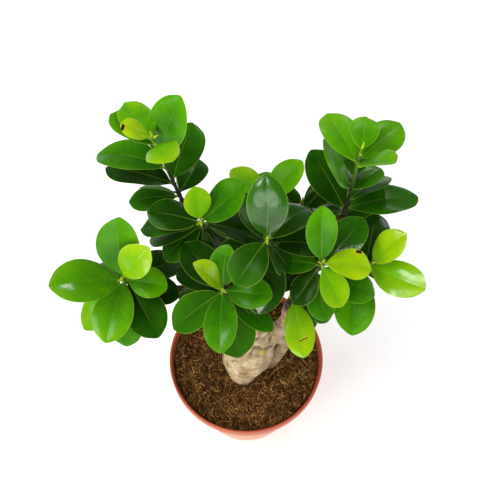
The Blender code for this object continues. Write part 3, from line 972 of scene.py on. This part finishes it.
# %% Make the stems
# Where leaves crowd at a stem's tip, their rings run together into a thick knob
STEM_STEP = 0.7 * MM
STEM_FOOT = 3.5 * MM
FOOT_RADIUS = 2.5 * MM
STEM_BASE_RADIUS = 1.35 * MM
STEM_TIP_RADIUS = 0.75 * MM
RING_SWELL = 0.42 * MM
RING_SPREAD = 1.0 * MM
MOST_RINGS = 4.0
BUD_LENGTH = 7 * MM
BUD_STEPS = 8
BUD_BOW = 0.5 * MM
STEM_YOUTH = 0.85
# Each of the youngest leaves has the sheath it came from, on the far side of the stem. The first
# is as yellow-green as the bud, and each one below it is this much older
SHEATHS = 4
SHEATH_AGING = 0.09
SHEATH_STEPS = 5
SHEATH_LENGTH = 5 * MM
SHEATH_RADIUS = 0.9 * MM
SHEATH_LEAN = math.radians(58)


def add_sheaths(shape, name):
    """Adds the bent spikes of the sheaths to a stem's bmesh. Returns the youth of each ring."""
    _, tip, along = stem_ends(name)
    youths = []
    for number, row in enumerate(SHOOTS[name]["leaves"][:SHEATHS]):
        foot, forward, _, _ = leaf_axes(tip, along, row)
        away = (along * forward.dot(along) - forward).normalized()
        centres, radii = [], []
        for i in range(SHEATH_STEPS + 1):
            share = i / SHEATH_STEPS
            lean = SHEATH_LEAN * (1.15 - 0.3 * share)
            heading = along * math.cos(lean) + away * math.sin(lean)
            centres.append(foot + heading * SHEATH_LENGTH * share)
            radii.append(SHEATH_RADIUS * (1 - 0.93 * share**1.6))
            youths.append(1.0 - SHEATH_AGING * number)
        add_tube(shape, centres, radii)
    return youths


def stem_radius(height, length, ring_heights):
    """The stem's radius at a height over its base, and how near that is to a ring, from 0 to 1."""
    share = max(0.0, min(1.0, height / length))
    radius = STEM_BASE_RADIUS + (STEM_TIP_RADIUS - STEM_BASE_RADIUS) * share
    foot = max(0.0, 1 - (height + STEM_FOOT) / (3 * STEM_FOOT))
    radius += (FOOT_RADIUS - STEM_BASE_RADIUS) * foot**0.7
    swell = sum(math.exp(-(((height - ring) / RING_SPREAD) ** 2)) for ring in ring_heights)
    return radius + RING_SWELL * min(swell, MOST_RINGS), min(swell, 1.0)


def make_stem(name):
    base, tip, along = stem_ends(name)
    length = (tip - base).length
    ring_heights = [length - row[0] * MM for row in SHOOTS[name]["leaves"]]
    aside = along.orthogonal().normalized()
    centres, radii, youths, scars = [], [], [], []
    count = int((length + STEM_FOOT) / STEM_STEP)
    for i in range(count + 1):
        height = -STEM_FOOT + (length + STEM_FOOT) * i / count
        radius, swell = stem_radius(height, length, ring_heights)
        centres.append(base + along * height)
        radii.append(radius)
        youths.append(max(0.0, height / length) * STEM_YOUTH)
        scars.append(swell)
    for i in range(1, BUD_STEPS + 1):
        share = i / BUD_STEPS
        bow = aside * math.sin(share * math.pi) * BUD_BOW
        centres.append(tip + along * BUD_LENGTH * share + bow)
        radii.append(STEM_TIP_RADIUS * (1.0 + 0.25 * math.sin(share * 3) - share * 0.92))
        youths.append(1.0)
        scars.append(0.0)
    shape = bmesh.new()
    add_tube(shape, centres, radii)
    youths += add_sheaths(shape, name)
    stem = smooth_object("stem_" + name, shape, stem_finish)
    for key, values in (("youth", youths), ("ring_scar", scars)):
        attribute = stem.data.attributes.new(key, "FLOAT", "POINT")
        for k, point in enumerate(attribute.data):
            point.value = values[min(k // STEM_SIDES, len(values) - 1)]
    return dress(stem, "shoot_" + name)


stems = [make_stem(name) for name in SHOOTS]
print(len(stems), "stems, the longest", round(max(stem.dimensions.z for stem in stems) / MM), "mm high")

# %% [markdown]
# ## The swollen wood
# The stump is fat and smooth where it has grown and wrinkled where it bends, and its skin is pale
# tan against the red-brown of the young branches. The CAD solid has its form but few faces. A copy
# of it is merged, remeshed finely and smoothed, and its foot is leant over a little. Then its skin
# is moved in and out along its normals: slow swellings, creases that run across, rings round the
# bent root, and a fine grain. Each point keeps how deep it lies, so the finish can paint shade into
# its creases, the grooves between the rings and its low parts.

# %% Finer copies of CAD nodes
WOOD_VOXEL = 0.85 * MM
WOOD_SMOOTHING = 10


def merged_copy(name, node):
    """A copy of a CAD node as one closed mesh, because the node's own is loose triangles."""
    shape = bmesh.new()
    shape.from_mesh(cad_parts[node].data)
    bmesh.ops.remove_doubles(shape, verts=shape.verts, dist=0.001 * MM)
    return object_from(name, shape)


def remeshed_wood():
    wood = merged_copy("wood", "trunk")
    remesh = wood.modifiers.new("Fine skin", "REMESH")
    remesh.mode = "VOXEL"
    remesh.voxel_size = WOOD_VOXEL
    smooth = wood.modifiers.new("Soften", "SMOOTH")
    smooth.factor = 0.5
    smooth.iterations = WOOD_SMOOTHING
    return applied(wood)


wood = remeshed_wood()
print("wood has", len(wood.data.vertices), "points")

# %% Swellings, creases and rings
BENT_ROOT = [
    Vector(point) * MM
    for point in ((13, 4, 127), (26, 4, 123), (31, 4, 111), (28, 1, 98), (22, -5, 88), (18, -9, 76))
]
# A relief is noise: the size of its patches, how far they stretch upwards, and its height
SWELLING = (18 * MM, 1.0, 1.2 * MM)
MUSCLE = (7 * MM, 2.6, 0.4 * MM)
STRIPES = (3.5 * MM, 0.35, 0.16 * MM)
GRAIN = (1.7 * MM, 1.0, 0.1 * MM)
YOUNG_RIDGES = (2.5 * MM, 3.0, 0.2 * MM)
# Creases are few low on the stump and many above this height
CREASE_HEIGHT = 126 * MM
CREASE_DEPTH = 1.1 * MM
CREASE_SIZE = 12 * MM
CREASE_STRETCH = 0.45
CREASE_SHARPNESS = 5
CREASE_SHIFT = Vector((0.03, 0, 0))
# The rings round the bent root, and the distances from its middle over which they end
RING_SPACING = 2.8 * MM
RINGS_END = (6.5 * MM, 9 * MM)
FOOT_LEAN = Vector((-1.8, 2.2, 0)) * MM
LEAN_HEIGHTS = (100 * MM, 135 * MM)
YOUNG_WOOD_FROM = 163 * MM
YOUNG_WOOD_FULL = 170 * MM


def share_between(value, low, high):
    """0 below low, 1 above high, and a soft rise between."""
    share = max(0.0, min(1.0, (value - low) / (high - low)))
    return share * share * (3 - 2 * share)


def nearest_on_path(point, path):
    """How far a point is from a path of straight steps, and how far along it lies."""
    best, best_along, gone = 1.0, 0.0, 0.0
    for start, end in zip(path, path[1:]):
        step = end - start
        share = max(0.0, min(1.0, (point - start).dot(step) / step.length_squared))
        distance = (point - start - step * share).length
        if distance < best:
            best, best_along = distance, gone + share * step.length
        gone += step.length
    return best, best_along


def clouds(point, size, stretch=1.0):
    """Noise from about -1 to 1, with patches of this size that are stretched upwards."""
    return noise.noise(Vector((point.x, point.y, point.z / stretch)) / size)


def relief(point, size, stretch, height):
    return clouds(point, size, stretch) * height


def skin_height(point):
    """How far the wood's skin stands out at a point, in metres, how creased and how low it is."""
    old = 1 - share_between(point.z, YOUNG_WOOD_FROM, YOUNG_WOOD_FULL)
    here = share_between(clouds(point, 17 * MM) + (point.z - CREASE_HEIGHT) / (40 * MM), -0.2, 0.2)
    line = abs(clouds(point + CREASE_SHIFT, CREASE_SIZE, CREASE_STRETCH))
    crease = max(0.0, 1 - line * CREASE_SHARPNESS) * here
    distance, along = nearest_on_path(point, BENT_ROOT)
    on_root = 1 - share_between(distance, *RINGS_END)
    ring_place = along / RING_SPACING + clouds(point, 5 * MM) * 0.9
    ring = (1 - abs(math.sin(math.pi * ring_place))) ** 2
    depth = (crease * (1 - on_root) + ring * 0.6 * on_root) * old
    aged = relief(point, *SWELLING) + relief(point, *MUSCLE) + relief(point, *STRIPES) * (1 - on_root)
    fresh = relief(point, *GRAIN) + relief(point, *YOUNG_RIDGES) * (1 - old)
    low = max(0.0, -clouds(point, *MUSCLE[:2]) - clouds(point, *SWELLING[:2]) * 0.6)
    return aged * old - depth * CREASE_DEPTH + fresh, depth, low


def settle(wood):
    """Leans the stump's foot over a little, as the real one sits in its soil."""
    for vertex in wood.data.vertices:
        share = 1 - share_between(vertex.co.z, *LEAN_HEIGHTS)
        vertex.co += FOOT_LEAN * share


def wrinkle(wood):
    """Moves the skin, and keeps for the painted shade how deep each point is in a crease or a low place.
    """
    normals = [vertex.normal.copy() for vertex in wood.data.vertices]
    wood.data.attributes.new("crease", "FLOAT", "POINT")
    wood.data.attributes.new("hollow", "FLOAT", "POINT")
    for i, vertex in enumerate(wood.data.vertices):
        height, depth, low = skin_height(vertex.co)
        vertex.co += normals[i] * height
        wood.data.attributes["crease"].data[i].value = depth
        wood.data.attributes["hollow"].data[i].value = low
    wood.data.update()


settle(wood)
wrinkle(wood)
print("wood is wrinkled")

# %% Bark material
STUMP_TAN = rgb(0.36, 0.255, 0.13)
STUMP_PALE = rgb(0.68, 0.53, 0.32)
STUMP_BROWN = rgb(0.15, 0.092, 0.042)
# Dark brown for painted shade in the creases and at the stump's foot
PAINTED_SHADE_DARK = rgb(0.075, 0.040, 0.018)
LIMB_PINK = rgb(0.43, 0.26, 0.18)
LICHEN = rgb(0.52, 0.47, 0.012)
LICHEN_PLACE = (11.7 * MM, -13.1 * MM, 135.3 * MM)
LICHEN_RADIUS = 3.8 * MM
YOUNG_BARK = rgb(0.070, 0.025, 0.016)
CORK_DOT = rgb(0.34, 0.22, 0.14)
BARK_RELIEF = 0.5 * MM
BARK_SHEEN = {"Specular IOR Level": 0.25}


def make_bark_finish():
    material, paint = new_finish("ginseng_bark")
    place = object_place(paint)
    x, _, z = paint.split(place)
    cloud = paint.grain(place, 9 * MM, 4.0, 0.6)
    stain = paint.grain(place, 5 * MM, 2.0)
    streak = paint.grain(paint.vector("MULTIPLY", place, (1.0, 1.0, 3.5)), 3.2 * MM, 4.0, 0.65)
    fleck = paint.grain(place, 0.9 * MM, 3.0, 0.6)
    crease = carried_number(paint, "crease")
    hollow = carried_number(paint, "hollow")
    # A painted contact shadow round the stump's foot, where it goes into the soil
    soil_contact_shadow = paint.fade(z + (cloud - 0.5) * 9 * MM, 87 * MM, 98 * MM)
    pink = paint.smooth(z + (cloud - 0.5) * 12 * MM, 124 * MM, 138 * MM)
    from_lichen = paint.vector("DISTANCE", place, LICHEN_PLACE).other("Value") + (stain - 0.5) * 6 * MM
    young = paint.smooth(z + (cloud - 0.5) * 6 * MM, YOUNG_WOOD_FROM, YOUNG_WOOD_FULL)
    dots = paint.smooth(paint.grain(place, 1.3 * MM, 1.0), 0.62, 0.72)
    colour = paint.layered(
        paint.mix(paint.smooth(cloud, 0.35, 0.65), STUMP_TAN, STUMP_PALE),
        (paint.smooth(stain, 0.5, 0.72) * 0.3, STUMP_BROWN),
        (paint.smooth(streak, 0.5, 0.7) * 0.55, STUMP_BROWN),
        (paint.smooth(fleck, 0.58, 0.8) * 0.3, STUMP_BROWN),
        # Painted shade in the skin's low parts, in its creases and in the grooves between the bent root's
        # rings
        (paint.smooth(hollow, 0.0, 0.7) * 0.25, STUMP_BROWN),
        (paint.smooth(crease, 0.0, 0.6) * 0.5, STUMP_BROWN),
        (paint.smooth(crease, 0.5, 1.0) * 0.7, PAINTED_SHADE_DARK),
        (soil_contact_shadow * 0.8, PAINTED_SHADE_DARK),
        (pink * paint.smooth(x, 19 * MM, 25 * MM) * 0.65, LIMB_PINK),
        (paint.smooth(from_lichen, LICHEN_RADIUS, 1 * MM) * 0.85, LICHEN),
        (young, paint.mix(dots * 0.5, YOUNG_BARK, CORK_DOT)),
    )
    roughness = 0.62 + fleck * 0.2 - young * 0.1
    height = streak * 0.5 + fleck * 0.3 + dots * young * 0.3
    finish_surface(paint, colour, roughness, height, BARK_RELIEF, BARK_SHEEN)
    return material


bark_finish = make_bark_finish()
painted(wood, bark_finish).data.shade_smooth()
dress(wood, "trunk")
print("wood faces:", len(wood.data.polygons))

# %% [markdown]
# ## The pot
# The pot is a thin cup of red-brown plastic, drawn in towards its foot, with a thicker band round
# its mouth and holes in its floor. A cup is a profile turned round an axis. Many steps keep the
# rim round close up. Blender's own spin gives its faces in another order on each run, so the turn
# is written out here. The holes are cut out of the cup afterwards.

# %% Turn the pot
POT_HEIGHT = 95 * MM
POT_RIM_RADIUS = 60.5 * MM
POT_BASE_RADIUS = 42.5 * MM
POT_WALL = 1.4 * MM
POT_FLOOR = 1.6 * MM
RIM_BAND_HEIGHT = 9 * MM
RIM_LIP = 1.7 * MM
RIM_ROUNDING = 0.8 * MM
POT_STEPS = 144
DRAIN_HOLES = 6
DRAIN_HOLE_RADIUS = 3.5 * MM
DRAIN_HOLE_SIDES = 32
DRAIN_CIRCLE_RADIUS = 28 * MM
WALL_RINGS = 14
LIP_STEPS = 12
# The profile has a ring of points on each side of the holes, this far from their circle
DRAIN_CIRCLE_CLEAR = 6 * MM
FOOT_TOP = 6 * MM


def pot_inner_radius(height):
    """The radius of the pot's inner wall, which widens evenly from the floor to the lip."""
    low = POT_BASE_RADIUS - POT_WALL
    high = POT_RIM_RADIUS - RIM_LIP
    return low + (high - low) * (height - POT_FLOOR) / (POT_HEIGHT - POT_FLOOR)


def pot_profile():
    """The pot's outline as (radius, height), up the inside, over the lip and down the outside."""
    inside_top = POT_HEIGHT - RIM_ROUNDING
    band_bottom = POT_HEIGHT - RIM_BAND_HEIGHT
    holes_from = DRAIN_CIRCLE_RADIUS - DRAIN_CIRCLE_CLEAR
    holes_to = DRAIN_CIRCLE_RADIUS + DRAIN_CIRCLE_CLEAR
    profile = [(0, POT_FLOOR), (holes_from, POT_FLOOR), (holes_to, POT_FLOOR)]
    for i in range(WALL_RINGS + 1):
        height = POT_FLOOR + (inside_top - POT_FLOOR) * i / WALL_RINGS
        profile.append((pot_inner_radius(height), height))
    for i in range(1, LIP_STEPS):
        angle = math.pi * (1 - i / LIP_STEPS)
        radius = POT_RIM_RADIUS - RIM_LIP / 2 * (1 - math.cos(angle))
        profile.append((radius, inside_top + RIM_ROUNDING * math.sin(angle)))
    wall_top = pot_inner_radius(band_bottom) + POT_WALL
    profile += [
        (POT_RIM_RADIUS, inside_top),
        (POT_RIM_RADIUS - 0.2 * MM, band_bottom + 0.6 * MM),
        (POT_RIM_RADIUS - 0.6 * MM, band_bottom),
        (wall_top + 0.3 * MM, band_bottom - 0.1 * MM),
        (wall_top, band_bottom - 0.6 * MM),
    ]
    for i in range(1, WALL_RINGS):
        height = band_bottom - (band_bottom - FOOT_TOP) * i / (WALL_RINGS - 1)
        profile.append((pot_inner_radius(height) + POT_WALL, height))
    return profile + [
        (POT_BASE_RADIUS, 1.2 * MM),
        (POT_BASE_RADIUS - 0.3 * MM, 0.3 * MM),
        (POT_BASE_RADIUS - 1.0 * MM, 0.0),
        (holes_to, 0.0),
        (holes_from, 0.0),
        (0, 0),
    ]


def spun(profile, steps):
    """A bmesh of a profile turned round Z. A point of it on the axis becomes a single pole."""
    shape = bmesh.new()
    rings = []
    for radius, height in profile:
        angles = [2 * math.pi * k / steps for k in range(steps if radius > 0 else 1)]
        places = [(radius * math.cos(angle), radius * math.sin(angle), height) for angle in angles]
        rings.append([shape.verts.new(place) for place in places])
    for ring, after in zip(rings, rings[1:]):
        for k in range(steps):
            corners = [ring[k % len(ring)], ring[(k + 1) % len(ring)]]
            corners += [after[(k + 1) % len(after)], after[k % len(after)]]
            shape.faces.new(dict.fromkeys(corners))
    bmesh.ops.recalc_face_normals(shape, faces=shape.faces)
    return shape


def drain_cutters():
    shape = bmesh.new()
    for i in range(DRAIN_HOLES):
        angle = 2 * math.pi * i / DRAIN_HOLES
        centre = Vector((math.cos(angle), math.sin(angle), 0)) * DRAIN_CIRCLE_RADIUS
        ends = [centre - Vector((0, 0, 3 * MM)), centre + Vector((0, 0, 4 * MM))]
        add_tube(shape, ends, [DRAIN_HOLE_RADIUS] * 2, DRAIN_HOLE_SIDES)
    return object_from("drain_cutters", shape)


print("pot profile has", len(pot_profile()), "points")

# %% Pot material
POT_RED = rgb(0.56, 0.115, 0.042)
POT_DEEP = rgb(0.40, 0.06, 0.028)
# Pale for scuffs, and for the painted glow of floor light on the pot's body
POT_SCUFF_AND_GLOW = rgb(0.70, 0.33, 0.19)
POT_DUST = rgb(0.16, 0.08, 0.045)
POT_RELIEF = 0.12 * MM


def make_pot_finish():
    material, paint = new_finish("terracotta_plastic")
    place = object_place(paint)
    x, y, z = paint.split(place)
    cloud = paint.grain(place, 16 * MM, 3.0)
    fleck = paint.grain(place, 1.2 * MM, 3.0, 0.6)
    across = (x * x + y * y) ** 0.5
    wall_slope = (pot_inner_radius(POT_HEIGHT) - pot_inner_radius(0)) / POT_HEIGHT
    through_wall = across - z * wall_slope - pot_inner_radius(0)
    inner_wall = 1 - paint.smooth(through_wall, 0.2 * MM, 0.9 * MM)
    band = paint.smooth(z, 85.0 * MM, 86.0 * MM)
    # The body grows paler towards its foot: a painted glow of the light that the bright floor throws up
    # on it
    painted_glow = paint.smooth(z + (cloud - 0.5) * 30 * MM, 20 * MM, 84 * MM, 1.0, 0.45)
    crumbs = paint.fade(z + (fleck - 0.5) * 14 * MM, 86 * MM, 93 * MM) * inner_wall
    scuff = paint.smooth(fleck, 0.6, 0.8)
    colour = paint.layered(
        paint.mix(cloud, POT_DEEP, POT_RED),
        (painted_glow * (1 - band) * (1 - inner_wall), POT_SCUFF_AND_GLOW),
        (crumbs * 0.8, POT_DUST),
        (scuff * 0.2, POT_SCUFF_AND_GLOW),
    )
    roughness = 0.42 + fleck * 0.16 + crumbs * 0.3
    finish_surface(paint, colour, roughness, cloud * 0.4 + fleck * 0.3, POT_RELIEF)
    return material


pot_finish = make_pot_finish()


def make_pot():
    pot = smooth_object("pot_cup", spun(pot_profile(), POT_STEPS), pot_finish)
    cutters = drain_cutters()
    holes = pot.modifiers.new("Drain holes", "BOOLEAN")
    holes.operation = "DIFFERENCE"
    holes.solver = "EXACT"
    holes.object = cutters
    applied(pot)
    bpy.data.objects.remove(cutters)
    return dress(pot, "pot")


pot = make_pot()
print("pot faces:", len(pot.data.polygons))

# %% [markdown]
# ## The soil
# Potting soil is coir and peat: short tan fibres in every direction over dark crumbs, a little
# lower than the rim and heaped round the stump. Painting that on a disc looks printed. The ground
# itself is a closed body with a lumpy top, and fibres and crumbs are scattered on it as real
# shapes, so that they catch the light and hide each other as the real ones do.

# %% The ground
SOIL_EDGE_HEIGHT = 87.5 * MM
SOIL_MOUND = 0.5 * MM
SOIL_GAP = 0.3 * MM
SOIL_RINGS = 56
SOIL_SECTORS = 168
SOIL_SIDE_RINGS = 8


def soil_height(x, y):
    """The soil's surface: a low mound with lumps of three sizes."""
    edge = pot_inner_radius(SOIL_EDGE_HEIGHT)
    share = min(1.0, math.hypot(x, y) / edge)
    point = Vector((x, y, 0))
    lumps = clouds(point, 14 * MM) * 1.3 + clouds(point, 5 * MM) * 0.9 + clouds(point, 1.8 * MM) * 0.5
    return SOIL_EDGE_HEIGHT + SOIL_MOUND * (1 - share * share) + lumps * MM


def make_ground():
    bottom = POT_FLOOR + SOIL_GAP
    edge = pot_inner_radius(SOIL_EDGE_HEIGHT) - SOIL_GAP
    profile = [(edge * i / SOIL_RINGS, SOIL_EDGE_HEIGHT) for i in range(SOIL_RINGS + 1)]
    for i in range(1, SOIL_SIDE_RINGS + 1):
        height = SOIL_EDGE_HEIGHT - (SOIL_EDGE_HEIGHT - bottom) * i / SOIL_SIDE_RINGS
        profile.append((pot_inner_radius(height) - SOIL_GAP, height))
    profile.append((0, bottom))
    shape = spun(profile, SOIL_SECTORS)
    for vertex in shape.verts:
        if vertex.co.z > SOIL_EDGE_HEIGHT - SOIL_GAP:
            vertex.co.z = soil_height(vertex.co.x, vertex.co.y)
    return shape


print("soil stands", round(soil_height(0.03, 0) / MM, 1), "mm over the pot's foot, 30 mm from its middle")

# %% Soil material
SOIL_DARK = rgb(0.024, 0.011, 0.004)
SOIL_BROWN = rgb(0.125, 0.052, 0.014)
SOIL_TAN = rgb(0.34, 0.17, 0.045)
COIR_GOLD = rgb(0.60, 0.37, 0.12)
SOIL_TONES = [(0.0, SOIL_DARK), (0.4, SOIL_BROWN), (0.75, SOIL_TAN), (1.0, COIR_GOLD)]
SOIL_RELIEF = 0.6 * MM
SOIL_SHEEN = {"Specular IOR Level": 0.12}


def make_soil_finish(name, tinted):
    """The ground's finish, or that of the bits on it, which each carry a tint of their own."""
    material, paint = new_finish(name)
    place = object_place(paint)
    cloud = paint.grain(place, 7 * MM, 4.0, 0.6)
    fleck = paint.grain(place, 1.1 * MM, 4.0, 0.65)
    if tinted:
        tone = carried_number(paint, "tint") + (fleck - 0.5) * 0.3 + (cloud - 0.5) * 0.9
    else:
        tone = cloud * 0.35 + fleck * 0.35
    roughness = 0.82 + fleck * 0.15
    finish_surface(paint, paint.ramp(tone, SOIL_TONES), roughness, fleck, SOIL_RELIEF, SOIL_SHEEN)
    return material


ground_finish = make_soil_finish("potting_soil", False)
ground = smooth_object("soil_ground", make_ground(), ground_finish)
dress(ground, "soil")
print("ground faces:", len(ground.data.polygons))

# %% [markdown]
# ## Fibres and crumbs
# Two Geometry Nodes trees scatter three piles: long pale fibres, short darker chips, and crumbs.
# Both take the top faces of the ground and throw points on them with a fixed seed. On each point
# goes a short bent tube or a small lump, turned and stretched at random. Noise then pushes the
# points about, so that no two stay alike, and ends that stick through the pot's wall are drawn in.

# %% The scattering trees
FIBRE_SIDES = 3
FIBRE_STEPS = 6
FIBRE_TILT = 0.35
FULL_TURN = 6.28
# A face of the ground takes bits where its normal points up by at least this much
UPWARD_FROM = 0.4
# Densities are numbers of bits on a square metre
FIBRE_VALUES = {
    "Fibre Length": 12 * MM, "Fibre Radius": 0.2 * MM, "Density": 50000.0, "Seed": 11,
    "Darkest": 0.35, "Palest": 1.0,
}
CHIP_VALUES = {
    "Fibre Length": 5 * MM, "Fibre Radius": 0.6 * MM, "Density": 150000.0, "Seed": 23,
    "Darkest": 0.1, "Palest": 0.85,
}
CRUMB_VALUES = {"Crumb Radius": 1.1 * MM, "Density": 240000.0, "Seed": 37}
BITS_REACH = pot_inner_radius(SOIL_EDGE_HEIGHT) - 0.7 * MM


def random_between(bench, kind, low, high, seed):
    """A random number or vector for each copy. Seed keeps the draws apart, and the same each run."""
    sockets = {"FLOAT_VECTOR": (0, 1, 0), "FLOAT": (2, 3, 1)}
    lowest, highest, output = sockets[kind]
    values = {lowest: low, highest: high, "Seed": seed}
    return bench.node("FunctionNodeRandomValue", {"data_type": kind}, values, output)


def scattered(bench, plan, shape, turn, scale, tint):
    """Copies of a shape on the top faces of the ground, each with its own turn, size and tint."""
    _, _, up = bench.split(bench.node("GeometryNodeInputNormal"))
    where = {
        "Mesh": plan["Geometry"],
        "Selection": bench.math("GREATER_THAN", up, UPWARD_FROM),
        "Density": plan["Density"],
        "Seed": plan["Seed"],
    }
    copies = {
        "Points": bench.node("GeometryNodeDistributePointsOnFaces", inputs=where),
        "Instance": shape,
        "Rotation": random_between(bench, "FLOAT_VECTOR", *turn, plan["Seed"] + 1),
        "Scale": random_between(bench, "FLOAT_VECTOR", *scale, plan["Seed"] + 2),
    }
    bits = bench.node("GeometryNodeInstanceOnPoints", inputs=copies)
    tints = random_between(bench, "FLOAT", *tint, plan["Seed"] + 3)
    return stored(bench, bits, "tint", tints, "FLOAT", "INSTANCE")


def shaken(bench, geometry, size, amount):
    """Moves every point by noise, so that copies of one shape differ."""
    real = bench.node("GeometryNodeRealizeInstances", inputs={"Geometry": geometry})
    place = bench.node("GeometryNodeInputPosition")
    push = bench.grain(place, size, 1.0).other("Color")
    push = bench.scaled(bench.vector("SUBTRACT", push, (0.5, 0.5, 0.5)), amount)
    return bench.node("GeometryNodeSetPosition", inputs={"Geometry": real, "Offset": push})


def kept_in_pot(bench, geometry):
    """Draws in the ends that stick through the wall, so that those bits lie along it instead."""
    x, y, z = bench.split(bench.node("GeometryNodeInputPosition"))
    across = bench.math("MAXIMUM", (x * x + y * y) ** 0.5, 1 * MM)
    share = bench.math("MINIMUM", BITS_REACH / across, 1.0)
    inside = bench.joined(x * share, y * share, z)
    return bench.node("GeometryNodeSetPosition", inputs={"Geometry": geometry, "Position": inside})


def end_bits(bench, plan, shape, turn, scale, tint, clouds_size, push):
    """Ends a tree of bits: scatters their shape, shakes the copies and keeps them in the pot."""
    bits = scattered(bench, plan, shape, turn, scale, tint)
    bits = kept_in_pot(bench, shaken(bench, bits, clouds_size, push))
    end_tree(bench, bits, plan["Finish"])
    return bench.tree


def build_fibre_tree():
    bench, plan = new_tree("coir_fibres", {**FIBRE_VALUES, "Finish": ground_finish})
    length = plan["Fibre Length"]
    bow = {
        "Resolution": FIBRE_STEPS,
        "Start": bench.joined(length * -0.5, 0.0, 0.0),
        "Middle": bench.joined(0.0, length * 0.25, length * 0.1),
        "End": bench.joined(length * 0.5, 0.0, 0.0),
    }
    line = bench.node("GeometryNodeCurveQuadraticBezier", inputs=bow)
    ring = {"Resolution": FIBRE_SIDES, "Radius": plan["Fibre Radius"]}
    profile = bench.node("GeometryNodeCurvePrimitiveCircle", inputs=ring)
    tube = {"Curve": line, "Profile Curve": profile, "Fill Caps": True}
    fibre = bench.node("GeometryNodeCurveToMesh", inputs=tube)
    turn = ((-FIBRE_TILT, -FIBRE_TILT, 0.0), (FIBRE_TILT, FIBRE_TILT, FULL_TURN))
    scale = ((0.4, 0.4, 0.8), (1.5, 1.5, 2.2))
    tint = (plan["Darkest"], plan["Palest"])
    return end_bits(bench, plan, fibre, turn, scale, tint, 5 * MM, 2.6 * MM)


def build_crumb_tree():
    bench, plan = new_tree("soil_crumbs", {**CRUMB_VALUES, "Finish": ground_finish})
    lump = {"Radius": plan["Crumb Radius"], "Subdivisions": 1}
    crumb = bench.node("GeometryNodeMeshIcoSphere", inputs=lump)
    turn = ((0.0, 0.0, 0.0), (FULL_TURN, FULL_TURN, FULL_TURN))
    scale = ((0.5, 0.5, 0.3), (2.0, 1.3, 1.0))
    return end_bits(bench, plan, crumb, turn, scale, (0.0, 0.72), 1.6 * MM, 1.4 * MM)


print("scattering trees can be built")

# %% Scatter fibres and crumbs
bits_finish = make_soil_finish("coir_and_peat", True)


def scatter(name, tree, values):
    values = {**values, "Finish": bits_finish}
    bits = mesh_by_nodes(name, ground.data.copy(), tree, values, ("tint",))
    return dress(painted(bits, bits_finish), "soil")


fibre_tree = build_fibre_tree()
fibres = scatter("soil_fibres", fibre_tree, FIBRE_VALUES)
chips = scatter("soil_chips", fibre_tree, CHIP_VALUES)
crumbs = scatter("soil_crumbs", build_crumb_tree(), CRUMB_VALUES)
for pile in (fibres, chips, crumbs):
    print(pile.name, len(pile.data.polygons), "faces")
